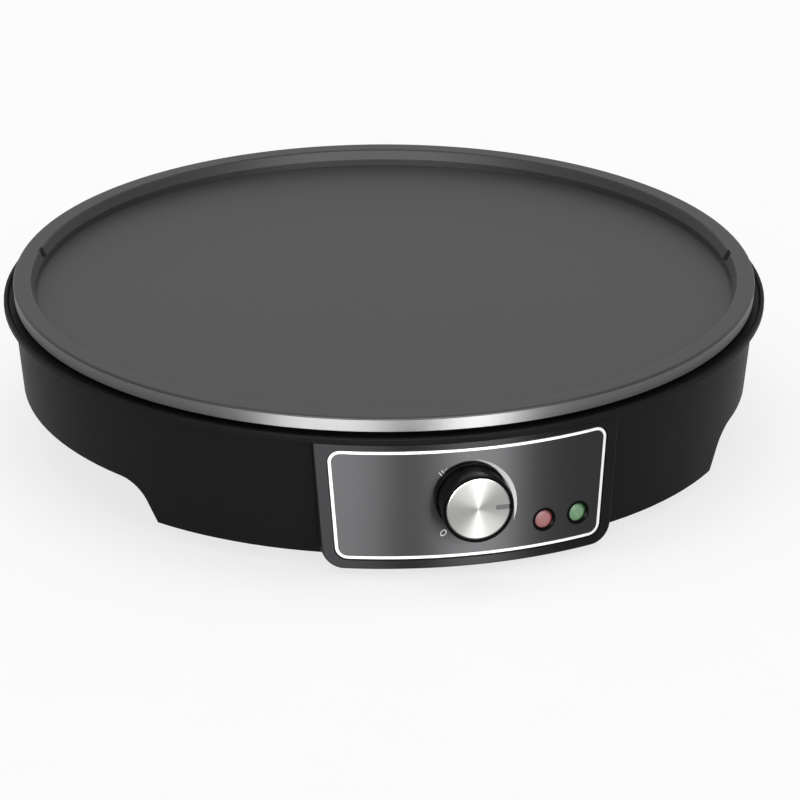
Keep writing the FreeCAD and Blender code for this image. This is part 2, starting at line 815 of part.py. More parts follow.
bezel_screw_places = [
    (bezel_screw_side, bezel_screw_low),
    (-bezel_screw_side, bezel_screw_low),
    (-bezel_screw_side, bezel_screw_high),
    (bezel_screw_side, bezel_screw_high),
]


def on_line(along, level):
    """Test for edges that run along X at a place in front of or behind the axis, and a height."""
    return lambda point: near(abs(point.y), along.value) and near(point.z, level.value)


def panel_prism(body, inset, low, high):
    """Raises the panel's leaning outline, inset from the bezel's sides, towards the front."""
    sketch = add_sketch(body, "XZ_Plane", bezel_screw_seat)
    polygon(sketch, [
        (-bezel_half(low) + inset, low),
        (bezel_half(low) - inset, low),
        (bezel_half(high) - inset, high),
        (-bezel_half(high) + inset, high),
    ])
    return pad(body, sketch, bezel_screw_depth + knob_depth)


def prism_corner(inset, level):
    """Test for the edges of the panel's prism that run to the front at one level."""
    half = (bezel_half(level) - inset).value
    return lambda point: near(abs(point.x), half) and near(point.z, level.value)


def rounded_prism(body, inset, low, high, rounding):
    """Raises the panel's leaning outline with its four corners rounded."""
    panel_prism(body, inset, low, high)
    for level in (low, high):
        round_edges(body, rounding, prism_corner(inset, level))


def cut_by(body, form):
    """Removes one body from another."""
    cut = body.newObject("PartDesign::Boolean", f"{body.Name}_cut")
    cut.setObjects([form])
    cut.Type = "Cut"
    cuts.append(cut)


def keep_inside(body, radius):
    """Trims a piece of the panel back to an upright cylinder."""
    sketch = add_sketch(body, "XZ_Plane")
    rectangle(sketch, radius, bezel_radius + 2 * knob_depth, bezel_bottom - 1, lip_top)
    return turn_away(body, sketch)


def keep_outside(body, radius):
    """Trims the back of a piece of the panel to an upright cylinder."""
    sketch = add_sketch(body, "XZ_Plane")
    rectangle(sketch, bezel_screw_side, radius, bezel_bottom - 1, lip_top)
    return turn_away(body, sketch)


def lamp_holes(body, radius):
    """Bores the two pilot lamp holes, each square to the curved panel."""
    for turn in (red_turn, green_turn):
        sketch = add_sketch(body, "XZ_Plane", 0, turn)
        circle(sketch, 0, lamp_height, radius)
        pocket(body, sketch, bezel_radius + knob_depth, back=True)


def control_bezel():
    """Deep moulded frame with a curved recess for the fascia, fitted to the skirt behind it."""
    recess = add_body("bezel_recess_form")
    rounded_prism(recess, side_border - trim_groove, trim_bottom - trim_groove,
                  trim_top + trim_groove, trim_corner + trim_groove)
    keep_outside(recess, recess_floor)

    hollow = add_body("bezel_hollow_form")
    sketch = add_sketch(hollow, "XZ_Plane", bezel_screw_seat)
    rectangle(sketch, -hollow_half, hollow_half, hollow_low, hollow_high)
    pad(hollow, sketch, bezel_screw_depth)
    keep_inside(hollow, bezel_back)

    body = add_body("control_bezel")
    panel_prism(body, as_size(0), bezel_bottom, bezel_top)
    round_edges(body, bezel_corner, prism_corner(as_size(0), bezel_bottom))
    keep_inside(body, bezel_radius)
    back = add_sketch(body, "XZ_Plane")
    low = bezel_bottom - 1
    polygon(back, [
        (bezel_screw_side, low),
        (skirt_radius(low) + bezel_seat_gap, low),
        (skirt_radius(lip_top) + bezel_seat_gap, lip_top),
        (bezel_screw_side, lip_top),
    ])
    turn_away(body, back)
    outer_rim = bezel_radius.value
    round_edges(body, bezel_round, lambda point: near(math.hypot(point.x, point.y), outer_rim)
                and point.z < bezel_top.value - 0.1 or near(math.hypot(point.x, point.y), outer_rim)
                and near(point.z, bezel_bottom.value))
    cut_by(body, recess)
    cut_by(body, hollow)

    # Two bosses that the heat control's frame is drawn up to, bored from the front
    bosses = add_sketch(body, "XZ_Plane", frame_front)
    for side in (control_screw_side, -control_screw_side):
        circle(bosses, knob_side + side, knob_height, main_head + 1)
    pad(body, bosses, bezel_back - frame_front)
    bores = add_sketch(body, "XZ_Plane", frame_front)
    for side in (control_screw_side, -control_screw_side):
        circle(bores, knob_side + side, knob_height, main_shank + free_gap)
    circle(bores, knob_side, knob_height, spindle_radius + running_gap + bushing_wall + free_gap)
    pocket(body, bores, frame_set_back, back=True)
    heads = add_sketch(body, "XZ_Plane", control_screw_seat)
    for side in (control_screw_side, -control_screw_side):
        circle(heads, knob_side + side, knob_height, main_head + free_gap)
    pocket(body, heads, control_screw_depth, back=True)
    lamp_holes(body, lens_radius + ring_wall + free_gap)
    threads = add_sketch(body, "XZ_Plane", bezel_screw_seat)
    for across, up in bezel_screw_places:
        circle(threads, across, up, small_shank + thread_gap)
    pocket(body, threads, bezel_screw_reach + 1, back=True)
    return place(body)


def fascia_panel():
    """Curved panel, laid in the bezel's recess inside the trim line."""
    body = add_body("fascia_panel")
    border = trim_width + seat_gap
    rounded_prism(body, side_border + border, trim_bottom + border, trim_top - border,
                  trim_corner - border)
    keep_inside(body, panel_radius)
    keep_outside(body, panel_back)
    spindle_hole = add_sketch(body, "XZ_Plane", bezel_screw_seat)
    circle(spindle_hole, knob_side, knob_height, spindle_radius + 1)
    pocket(body, spindle_hole, bezel_screw_depth, back=True)
    lamp_holes(body, lens_radius + ring_wall + thread_gap)
    return place(body)


def trim_line():
    """Thin bright frame between the bezel and the fascia."""
    inside = add_body("trim_inside_form")
    rounded_prism(inside, side_border + trim_width, trim_bottom + trim_width, trim_top - trim_width,
                  trim_corner - trim_width)
    body = add_body("trim_line")
    rounded_prism(body, side_border, trim_bottom, trim_top, trim_corner)
    cut_by(body, inside)
    keep_inside(body, panel_radius + trim_proud)
    keep_outside(body, panel_back)
    return place(body)


def turned(label, points):
    """Turns a profile of radius and forward distance about an axis that points to the front."""
    body = add_body(label)
    sketch = add_sketch(body, "XY_Plane")
    polygon(sketch, [(radius, -forward) for radius, forward in points])
    turn_solid(body, sketch)
    return body


def knob_body():
    """Hollow knob with a collar round its face, a base ring, and a hub for the shaft."""
    shell = knob_rim_radius - knob_shell
    roof = knob_front - knob_roof
    seat = knob_front - cap_sink - cap_sheet - seat_gap
    body = turned("knob_body", [
        (0, roof),
        (0, seat),
        (cap_radius + seat_gap, seat),
        (cap_radius + seat_gap, knob_front),
        (knob_rim_radius, knob_front),
        (knob_rim_radius, knob_collar),
        (knob_waist_radius, knob_collar),
        (knob_waist_radius, knob_rear + knob_base_depth),
        (knob_base_radius, knob_rear + knob_base_depth),
        (knob_base_radius, knob_rear),
        (shell, knob_rear),
        (shell, roof),
    ])
    front = knob_front.value
    rim = knob_rim_radius.value
    round_edges(body, knob_round, ring_edge(rim, front))
    round_edges(body, knob_round, ring_edge(knob_base_radius.value, (knob_rear + knob_base_depth).value))
    hub = add_sketch(body, "XZ_Plane", knob_rear)
    circle(hub, 0, 0, hub_radius)
    pad(body, hub, roof - knob_rear)
    bore = add_sketch(body, "XZ_Plane", knob_rear)
    flatted_circle(bore, spindle_radius + running_gap, spindle_flat + leaf_sheet + 2 * running_gap)
    pocket(body, bore, roof - knob_rear, back=True)
    return place(body, knob_height, side=knob_side)


def ring_edge(radius, forward):
    """Test for edges that run round the forward axis of a turned piece."""
    return lambda point: near(math.hypot(point.x, point.z), radius) and near(-point.y, forward)


def knob_cap():
    """Metal disc let into the knob's face, bevelled at its edge and slotted for the pointer."""
    front = knob_front - cap_sink
    body = turned("knob_cap", [
        (0, front - cap_sheet),
        (0, front),
        (cap_radius - cap_bevel, front),
        (cap_radius, front - cap_bevel_drop),
        (cap_radius, front - cap_sheet),
    ])
    slot = add_sketch(body, "XZ_Plane", front)
    half = pointer_width / 2 + seat_gap
    start = pointer_start - seat_gap
    rectangle(slot, start, cap_radius + 1, -half, half)
    pocket(body, slot, cap_sheet)
    inner = start.value
    round_edges(body, pointer_round + seat_gap, lambda point: near(point.x, inner)
                and near(abs(point.z), half.value))
    return place(body, knob_height, side=knob_side)


def knob_pointer():
    """Bar that shows where the knob is set, at three o'clock at rest, with its inner end rounded."""
    body = add_body("knob_pointer")
    front = knob_front - cap_sink
    sketch = add_sketch(body, "XZ_Plane", front - cap_sheet)
    half = pointer_width / 2
    rectangle(sketch, pointer_start, pointer_start + pointer_length, -half, half)
    pad(body, sketch, cap_sheet + pointer_proud)
    inner = pointer_start.value
    round_edges(body, pointer_round, lambda point: near(point.x, inner) and near(abs(point.z), half.value))
    return place(body, knob_height, side=knob_side)


def thermostat_spindle():
    """Shaft of the heat control, flatted where the knob grips it."""
    body = add_body("thermostat_spindle")
    inner = frame_back - spindle_inner
    shank = add_sketch(body, "XZ_Plane", inner)
    circle(shank, 0, 0, spindle_radius)
    flat_start = knob_rear - free_gap
    pad(body, shank, flat_start - inner)
    flat = add_sketch(body, "XZ_Plane", flat_start)
    flatted_circle(flat, spindle_radius, spindle_flat)
    pad(body, flat, spindle_end - flat_start)
    return place(body, knob_height, side=knob_side)


def knob_spring_clip():
    """Flat leaf pressed between the hub and the flat of the shaft."""
    body = add_body("knob_spring_clip")
    sketch = add_sketch(body, "XZ_Plane", spindle_end - leaf_length)
    low = spindle_flat + running_gap
    rectangle(sketch, -leaf_width / 2, leaf_width / 2, low, low + leaf_sheet)
    pad(body, sketch, leaf_length)
    return place(body, knob_height, side=knob_side)


def thermostat_body():
    """Phenolic case of the heat control, bored for the shaft and cleared for its screws."""
    body = add_body("thermostat_body")
    case = add_sketch(body, "XZ_Plane", thermostat_back)
    half_rise = thermostat_rise / 2
    rectangle(case, knob_side - thermostat_half, knob_side + thermostat_half,
              knob_height - half_rise, knob_height + half_rise)
    pad(body, case, thermostat_depth)
    bore = add_sketch(body, "XZ_Plane", frame_back)
    circle(bore, knob_side, knob_height, spindle_radius + 2 * running_gap)
    pocket(body, bore, spindle_inner + spindle_end_gap)
    cleared = add_sketch(body, "XZ_Plane", frame_back)
    for side in (control_screw_side, -control_screw_side):
        circle(cleared, knob_side + side, knob_height, main_shank + free_gap)
    pocket(body, cleared, control_screw_reach - (control_screw_seat - frame_back) + 1)
    return place(body)


def thermostat_frame():
    """Steel face of the heat control, with the bushing that the shaft turns in."""
    body = add_body("thermostat_frame")
    face = add_sketch(body, "XZ_Plane", frame_back)
    half_rise = thermostat_rise / 2
    rectangle(face, knob_side - frame_half, knob_side + frame_half,
              knob_height - half_rise, knob_height + half_rise)
    pad(body, face, frame_sheet)
    bushing = add_sketch(body, "XZ_Plane", frame_front)
    circle(bushing, knob_side, knob_height, spindle_radius + running_gap + bushing_wall)
    pad(body, bushing, bushing_reach)
    bores = add_sketch(body, "XZ_Plane", frame_back)
    circle(bores, knob_side, knob_height, spindle_radius + running_gap)
    pocket(body, bores, frame_sheet + bushing_reach, back=True)
    threads = add_sketch(body, "XZ_Plane", frame_back)
    for side in (control_screw_side, -control_screw_side):
        circle(threads, knob_side + side, knob_height, main_shank + thread_gap)
    pocket(body, threads, frame_sheet, back=True)
    return place(body)


def screws_forward(label, places, seat, reach, shank, head, head_rise, head_in_front):
    """Screws along Y: a head on its seat and a shank that reaches the other way."""
    body = add_body(label)
    sketch = add_sketch(body, "XZ_Plane", seat)
    for across, up in places:
        circle(sketch, across, up, shank)
    pad(body, sketch, reach, back=head_in_front)
    heads = add_sketch(body, "XZ_Plane", seat)
    for across, up in places:
        circle(heads, across, up, head)
    pad(body, heads, head_rise, back=not head_in_front)
    face = seat + head_rise if head_in_front else seat - head_rise
    slots = add_sketch(body, "XZ_Plane", face)
    for across, up in places:
        half = drive_width
        rectangle(slots, across - half, across + half, up - half / 4, up + half / 4)
    pocket(body, slots, drive_depth, back=not head_in_front)
    return place(body)


def thermostat_terminals():
    """Three spade tabs on the back of the heat control."""
    body = add_body("thermostat_terminals")
    sketch = add_sketch(body, "XZ_Plane", thermostat_back - tab_length)
    half = tab_width / 2
    for middle in (knob_side - terminal_side, knob_side, knob_side + terminal_side):
        rectangle(sketch, middle - half, middle + half, terminal_height, terminal_height + tab_thickness)
    pad(body, sketch, tab_length)
    return place(body)


def heating_element():
    """Tubular ring with its two cold ends turned inwards at the front."""
    body = add_body("heating_element")
    path = add_sketch(body, "XY_Plane", element_level)
    reach = ring_radius - bend_radius
    gap = math.asin((pin_spread.value + bend_radius.value) / reach.value)
    centre_x = reach.value * math.sin(gap)
    centre_y = -reach.value * math.cos(gap)
    end_y = -cold_end.value
    spread = pin_spread.value
    radius = bend_radius.value
    whole = Part.Circle(Vector(0, 0, 0), Vector(0, 0, 1), ring_radius.value)
    quarter = math.pi / 2
    ring = path.addGeometry(Part.ArcOfCircle(whole, gap - quarter, 3 * quarter - gap), False)
    right = Part.Circle(Vector(centre_x, centre_y, 0), Vector(0, 0, 1), radius)
    left = Part.Circle(Vector(-centre_x, centre_y, 0), Vector(0, 0, 1), radius)
    right_bend = path.addGeometry(Part.ArcOfCircle(right, math.pi, 3 * quarter + gap), False)
    left_bend = path.addGeometry(Part.ArcOfCircle(left, 3 * quarter - gap, 2 * math.pi), False)
    right_run = path.addGeometry(
        Part.LineSegment(Vector(spread, end_y, 0), Vector(spread, centre_y, 0)), False)
    left_run = path.addGeometry(
        Part.LineSegment(Vector(-spread, centre_y, 0), Vector(-spread, end_y, 0)), False)
    path.addConstraint(Sketcher.Constraint("Coincident", ring, 3, -1, 1))
    path.addConstraint(Sketcher.Constraint("Tangent", right_run, 2, right_bend, 1))
    path.addConstraint(Sketcher.Constraint("Tangent", right_bend, 2, ring, 1))
    path.addConstraint(Sketcher.Constraint("Tangent", ring, 2, left_bend, 1))
    path.addConstraint(Sketcher.Constraint("Tangent", left_bend, 2, left_run, 1))
    path.addConstraint(Sketcher.Constraint("Vertical", right_run))
    path.addConstraint(Sketcher.Constraint("Vertical", left_run))
    path.addConstraint(Sketcher.Constraint("Equal", right_bend, left_bend))
    hold(path, Sketcher.Constraint("Radius", ring, ring_radius.value), ring_radius)
    hold(path, Sketcher.Constraint("Radius", right_bend, radius), bend_radius)
    pin(path, right_run, 1, pin_spread, -cold_end)
    pin(path, left_run, 2, -pin_spread, -cold_end)
    section = add_sketch(body, "XZ_Plane", cold_end)
    circle(section, pin_spread, element_level, element_radius)
    pipe = body.newObject("PartDesign::AdditivePipe", "element_pipe")
    pipe.Profile = section
    pipe.Spine = path
    return place(body)


def heater_insulators():
    """Ceramic beads that close the element's cold ends round their pins."""
    body = add_body("heater_insulators")
    sketch = add_sketch(body, "XZ_Plane", cold_end - seat_gap)
    for side in (pin_spread, -pin_spread):
        circle(sketch, side, element_level, element_radius)
        circle(sketch, side, element_level, pin_bore / 2 + running_gap)
    pad(body, sketch, bead_length, back=True)
    return place(body)


def heater_terminals():
    """Pins that come out of the beads and flatten into spade tabs."""
    body = add_body("heater_terminals")
    pins = add_sketch(body, "XZ_Plane", cold_end - seat_gap)
    for side in (pin_spread, -pin_spread):
        circle(pins, side, element_level, pin_bore / 2)
    pad(body, pins, bead_length + 1, back=True)
    tabs = add_sketch(body, "XZ_Plane", cold_end - bead_length - 2 * seat_gap)
    half = tab_width / 2
    thick = tab_thickness / 2
    for side in (pin_spread, -pin_spread):
        rectangle(tabs, side - half, side + half, element_level - thick, element_level + thick)
    pad(body, tabs, tab_length, back=True)
    return place(body)


def element_clips():
    """Three flat straps, each screwed to its own boss and reaching out under the element."""
    body = add_body("element_clips")
    strap = add_sketch(body, "XY_Plane", clip_level - clip_thickness)
    half = clip_width / 2
    near_edge = clip_radius - clip_tail
    rectangle(strap, -half, half, near_edge, near_edge + clip_reach)
    circle(strap, 0, clip_radius, small_shank + free_gap)
    repeat_round(body, pad(body, strap, clip_thickness), 3)
    return place(body)


def strap(label, across, boss_line, far_line):
    """Flat strap from a boss under the plate to just past the sleeve that it holds up."""
    body = add_body(label)
    outline = add_sketch(body, "XY_Plane", strap_level - strap_thickness)
    half = strap_width / 2
    lines = sorted((as_size(boss_line), as_size(far_line)), key=lambda line: line.value)
    rectangle(outline, across - half, across + half, lines[0] - clip_tail, lines[1] + clip_tail)
    circle(outline, across, boss_line, small_shank + free_gap)
    pad(body, outline, strap_thickness)
    return place(body)


def sleeve(label, half, line):
    """Round sleeve that lies along X against the underside of the plate."""
    body = add_body(label)
    sketch = add_sketch(body, "YZ_Plane")
    circle(sketch, line, sleeve_level, sleeve_radius)
    pad(body, sketch, 2 * half, both=True)
    doc.recompute()
    names = [f"Edge{index}" for index, edge in enumerate(body.Shape.Edges, start=1) if edge.Closed]
    base = body.Tip
    end = body.newObject("PartDesign::Chamfer", f"{label}_end")
    end.Base = (base, names)
    end.Size = sleeve_radius.value / 4
    bind(end, "Size", sleeve_radius / 4)
    return place(body)


def clip_screws():
    """Small screws that hold the three element straps and the two sleeve straps."""
    body = add_body("clip_screws")
    third = as_size(60)
    ring = [
        (as_size(0), clip_radius),
        (clip_radius * sine(third), -clip_radius * cosine(third)),
        (-clip_radius * sine(third), -clip_radius * cosine(third)),
    ]
    groups = (
        (ring, clip_level, clip_thickness),
        (strap_places[:2], strap_level, strap_thickness),
    )
    for places, level, sheet_metal in groups:
        seat = level - sheet_metal
        shanks = add_sketch(body, "XY_Plane", seat)
        for across, along in places:
            circle(shanks, across, along, small_shank)
        pad(body, shanks, sheet_metal + thread_reach)
        heads = add_sketch(body, "XY_Plane", seat)
        for across, along in places:
            circle(heads, across, along, small_head)
        pad(body, heads, small_head_rise, back=True)
        drive_slots(body, places, seat - small_head_rise, up=False)
    return place(body)


def earth_screw():
    """Screw that holds the earth tab to the plate."""
    places = [strap_places[2]]
    seat = strap_level - tab_thickness
    layers = [(small_head, seat - small_head_rise, seat), (small_shank, seat, strap_level + thread_reach)]
    body = stack("earth_screw", places, layers)
    drive_slots(body, places, seat - small_head_rise, up=False)
    return place(body)


def earth_tab():
    """Spade tab that earths the plate."""
    body = add_body("earth_tab")
    outline = add_sketch(body, "XY_Plane", strap_level - tab_thickness)
    half = tab_width / 2
    rectangle(outline, -earth_side - half, -earth_side + half, earth_line - clip_tail,
              earth_line + earth_reach)
    circle(outline, -earth_side, earth_line, small_shank + free_gap)
    pad(body, outline, tab_thickness)
    return place(body)


def heat_reflector():
    """Pressed steel dish between the element and the base, opened where the wiring passes."""
    body = add_body("heat_reflector")
    rim = reflector_radius - reflector_sheet
    profile = add_sketch(body, "XZ_Plane")
    polygon(profile, [
        (0, reflector_bottom),
        (reflector_radius, reflector_bottom),
        (reflector_radius, reflector_bottom + reflector_rim),
        (rim, reflector_bottom + reflector_rim),
        (rim, reflector_top),
        (0, reflector_top),
    ])
    turn_solid(body, profile)
    openings = add_sketch(body, "XY_Plane", reflector_top)
    rectangle(openings, -window_half, window_half, -front_window_far, -front_window_near)
    rectangle(openings, -rear_window_half, rear_window_half, rear_window_near, rear_window_far)
    for side, line in corners(post_side, post_line):
        circle(openings, side, line, main_shank + free_gap)
    pocket(body, openings, reflector_sheet)
    return place(body)


def bottom_cover():
    """Stepped floor that closes the base, raised over the side cut-outs, with posts and vents."""
    body = add_body("bottom_cover")
    reach = skirt_foot_radius + skirt_wall
    slant = floor_side_gap + floor_roof_gap
    section = add_sketch(body, "YZ_Plane")
    polygon(section, [
        (-reach, floor_low),
        (-cutout_foot_half - slant, floor_low),
        (-cutout_top_half - slant, floor_high),
        (cutout_top_half + slant, floor_high),
        (cutout_foot_half + slant, floor_low),
        (reach, floor_low),
        (reach, floor_low_top),
        (cutout_foot_half + slant + floor_sheet, floor_low_top),
        (cutout_top_half + slant + floor_sheet, floor_high_top),
        (-cutout_top_half - slant - floor_sheet, floor_high_top),
        (-cutout_foot_half - slant - floor_sheet, floor_low_top),
        (-reach, floor_low_top),
    ])
    pad(body, section, 2 * reach, both=True)
    outside = add_sketch(body, "XZ_Plane")
    gap = skirt_wall + floor_side_gap
    polygon(outside, [
        (skirt_radius(floor_low - 1) - gap, floor_low - 1),
        (2 * reach, floor_low - 1),
        (2 * reach, floor_high_top + 1),
        (skirt_radius(floor_high_top + 1) - gap, floor_high_top + 1),
    ])
    turn_away(body, outside)

    posts = add_sketch(body, "XY_Plane", floor_high)
    for side, line in corners(post_side, post_line):
        circle(posts, side, line, post_radius)
    pad(body, posts, reflector_bottom - floor_high)
    shanks = add_sketch(body, "XY_Plane", floor_high)
    heads = add_sketch(body, "XY_Plane", floor_high)
    for side, line in corners(post_side, post_line):
        circle(shanks, side, line, main_shank + free_gap)
        circle(heads, side, line, main_head + free_gap)
    pocket(body, shanks, reflector_bottom - floor_high, back=True)
    pocket(body, heads, counterbore_depth, back=True)

    low_holes = add_sketch(body, "XY_Plane", floor_low)
    for side, line in corners(foot_side, foot_line):
        circle(low_holes, side, line, foot_neck + thread_gap)
    for side, line in corners(stem_side, stem_line):
        circle(low_holes, side, line, small_shank + free_gap)
    pocket(body, low_holes, floor_sheet, back=True)

    vent = add_sketch(body, "XY_Plane", floor_high)
    left = -vent_pitch * (vent_count - 1) / 2
    rectangle(vent, left - vent_width / 2, left + vent_width / 2, -vent_half, vent_half)
    first = pocket(body, vent, floor_sheet, back=True)
    row = body.newObject("PartDesign::LinearPattern", "cover_vents")
    row.Originals = [first]
    axis = [line for line in body.Origin.OriginFeatures if line.Role == "X_Axis"]
    row.Direction = (axis[0], [""])
    row.Length = (vent_pitch * (vent_count - 1)).value
    bind(row, "Length", vent_pitch * (vent_count - 1))
    row.Occurrences = vent_count
    body.Tip = row

    # Pillars and saddle of the cord anchorage, and the hole of the terminal block's screw
    pillars = add_sketch(body, "XY_Plane", floor_low)
    for side in (clamp_side, -clamp_side):
        circle(pillars, side, clamp_line, clamp_pillar)
    pad(body, pillars, clamp_seat - floor_low)
    saddle = add_sketch(body, "XY_Plane", floor_low)
    half = saddle_width / 2
    rectangle(saddle, -saddle_half, saddle_half, clamp_line - half, clamp_line + half)
    pad(body, saddle, saddle_top - floor_low)
    threads = add_sketch(body, "XY_Plane", clamp_seat)
    for side in (clamp_side, -clamp_side):
        circle(threads, side, clamp_line, small_shank + thread_gap)
    pocket(body, threads, clamp_screw_reach + 1)
    fixing = add_sketch(body, "XY_Plane", floor_low)
    circle(fixing, pole_pitch / 2, block_near + block_depth / 2, small_shank + thread_gap)
    pocket(body, fixing, floor_sheet, back=True)
    return place(body)


def rubber_feet():
    """Four push-in feet."""
    places = corners(foot_side, foot_line)
    body = stack("rubber_feet", places, [
        (foot_radius, as_size(0), floor_low),
        (foot_neck, floor_low, floor_low_top),
        (foot_head, floor_low_top, floor_low_top + foot_head_rise),
    ])
    round_edges(body, foot_round, lambda point: near(point.z, 0.0))
    return place(body)


def screws_up(label, places, seat, reach, shank, head, head_rise):
    """Screws driven upwards, with the head below its seat."""
    body = stack(label, places, [(head, seat - head_rise, seat), (shank, seat, seat + reach)])
    drive_slots(body, places, seat - head_rise, up=False)
    return place(body)


def screws_down(label, places, seat, reach, shank, head, head_rise):
    """Screws driven downwards, with the head on top of its seat."""
    body = stack(label, places, [(shank, seat - reach, seat), (head, seat, seat + head_rise)])
    drive_slots(body, places, seat + head_rise, up=True)
    return place(body)


def lens(label, turn):
    """Domed lens of one pilot lamp."""
    crown = lens_front + lens_crown
    step = lens_radius * 0.6
    body = turned(label, [
        (0, lens_back),
        (lens_radius, lens_back),
        (lens_radius, lens_front),
        (step, lens_front + lens_crown * 0.7),
        (0, crown),
    ])
    return place(body, lamp_height, turn)


def lens_ring(label, turn):
    """Dark ring that the lens sits in, flanged behind the bezel's wall."""
    bore = lens_radius + seat_gap
    outer = lens_radius + ring_wall
    flange_front = ring_back + ring_flange_depth
    body = turned(label, [
        (bore, ring_back),
        (ring_flange, ring_back),
        (ring_flange, flange_front),
        (outer, flange_front),
        (outer, ring_front),
        (bore + ring_bevel, ring_front),
        (bore, ring_front - ring_bevel),
    ])
    return place(body, lamp_height, turn)


def lamp_holder(label, turn):
    """Tube behind the lens that carries the neon lamp."""
    bore = neon_radius + seat_gap
    body = turned(label, [
        (bore, holder_back),
        (holder_radius, holder_back),
        (holder_radius, holder_front),
        (bore, holder_front),
    ])
    return place(body, lamp_height, turn)


def neon_lamp(label, turn):
    """Small glass lamp inside the holder."""
    front = holder_front
    dome = neon_radius / 2
    body = turned(label, [
        (0, front - neon_length),
        (neon_radius, front - neon_length),
        (neon_radius, front - dome),
        (dome, front),
        (0, front),
    ])
    return place(body, lamp_height, turn)


def resistor(label, turn):
    """Series resistor on the lamp's lead, held in a stub of the holder's end."""
    waist = resistor_radius * 0.7
    end = holder_front - neon_length - seat_gap
    body = turned(label, [
        (0, resistor_back),
        (waist, resistor_back),
        (resistor_radius, resistor_back + 1),
        (resistor_radius, resistor_back + resistor_length - 1),
        (waist, resistor_back + resistor_length),
        (waist / 2, resistor_back + resistor_length),
        (waist / 2, end),
        (0, end),
    ])
    return place(body, lamp_height, turn)


def cord_grommet():
    """Rubber inlet bush in the rear of the skirt, with its bore open for the cord."""
    tail_front = inlet_inner - seat_gap
    flange_back = inlet_seat + seat_gap
    body = turned("cord_grommet", [
        (grommet_bore, -(tail_front - grommet_tail_depth)),
        (grommet_tail, -(tail_front - grommet_tail_depth)),
        (grommet_tail, -tail_front),
        (grommet_neck, -tail_front),
        (grommet_neck, -flange_back),
        (grommet_flange, -flange_back),
        (grommet_flange, -(flange_back + grommet_flange_depth)),
        (grommet_bore, -(flange_back + grommet_flange_depth)),
    ])
    return place(body, inlet_height)


def cord_clamp():
    """Strap that presses the cord on its saddle."""
    body = add_body("cord_clamp")
    outline = add_sketch(body, "XY_Plane", clamp_seat)
    half = clamp_width / 2
    rectangle(outline, -clamp_half, clamp_half, clamp_line - half, clamp_line + half)
    for side in (clamp_side, -clamp_side):
        circle(outline, side, clamp_line, small_shank + free_gap)
    pad(body, outline, clamp_sheet)
    return place(body)


def terminal_block():
    """Three-pole block on the floor of the base."""
    body = add_body("terminal_block")
    outline = add_sketch(body, "XY_Plane", floor_low_top)
    rectangle(outline, -block_half, block_half, block_near, block_near + block_depth)
    circle(outline, pole_pitch / 2, block_near + block_depth / 2, small_shank + free_gap)
    pad(body, outline, block_rise)
    poles = add_sketch(body, "XZ_Plane", -block_near)
    for across in pole_sides:
        circle(poles, across, pole_level, pole_bore)
    pocket(body, poles, block_depth, back=False)
    wells = add_sketch(body, "XY_Plane", block_top)
    for across, along in pole_screw_places:
        circle(wells, across, along, pole_screw_radius + thread_gap)
    pocket(body, wells, pole_screw_depth)
    return place(body)


pole_sides = (-pole_pitch, as_size(0), pole_pitch)
pole_screw_lines = (block_near + pole_screw_inset, block_near + block_depth - pole_screw_inset)
pole_screw_places = [(across, along) for across in pole_sides for along in pole_screw_lines]


def terminal_screws():
    """Six grub screws that clamp the wires in the block."""
    body = stack("terminal_screws", pole_screw_places, [
        (pole_screw_radius, block_top - pole_screw_depth + seat_gap, block_top - seat_gap),
    ])
    drive_slots(body, pole_screw_places, block_top - seat_gap, up=True)
    return place(body)


def lead(label, radius, *routes):
    """Round leads, each along straight runs joined by tangent arcs as wide as the runs allow."""
    solids = []
    for route in routes:
        points = [Vector(*(as_size(number).value for number in point)) for point in route]
        runs = [after - before for before, after in zip(points, points[1:])]
        edges = []
        start = points[0]
        for corner, before, after in zip(points[1:], runs, runs[1:]):
            turn = before.getAngle(after)
            cut = 0.45 * min(before.Length, after.Length)
            enter = corner - Vector(before).normalize() * cut
            leave = corner + Vector(after).normalize() * cut
            bow = cut / math.tan(turn / 2)
            inward = (enter + leave) * 0.5 - corner
            reach = math.hypot(bow, cut) - bow
            middle = corner + inward.normalize() * reach
            edges.append(Part.LineSegment(start, enter).toShape())
            edges.append(Part.Arc(enter, middle, leave).toShape())
            start = leave
        edges.append(Part.LineSegment(start, points[-1]).toShape())
        path = Part.Wire(edges)
        ring = Part.Wire(Part.Circle(points[0], runs[0], radius.value).toShape())
        tube = path.makePipeShell([ring], True, False)
        expected = math.pi * radius.value ** 2 * path.Length
        if abs(tube.Volume / expected - 1) > 0.01:
            raise RuntimeError(f"{label} has the wrong volume")
        solids.append(tube)
    item = doc.addObject("Part::Feature", label)
    item.Label = label
    item.Shape = solids[0] if len(solids) == 1 else Part.makeCompound(solids)
    return place(item)


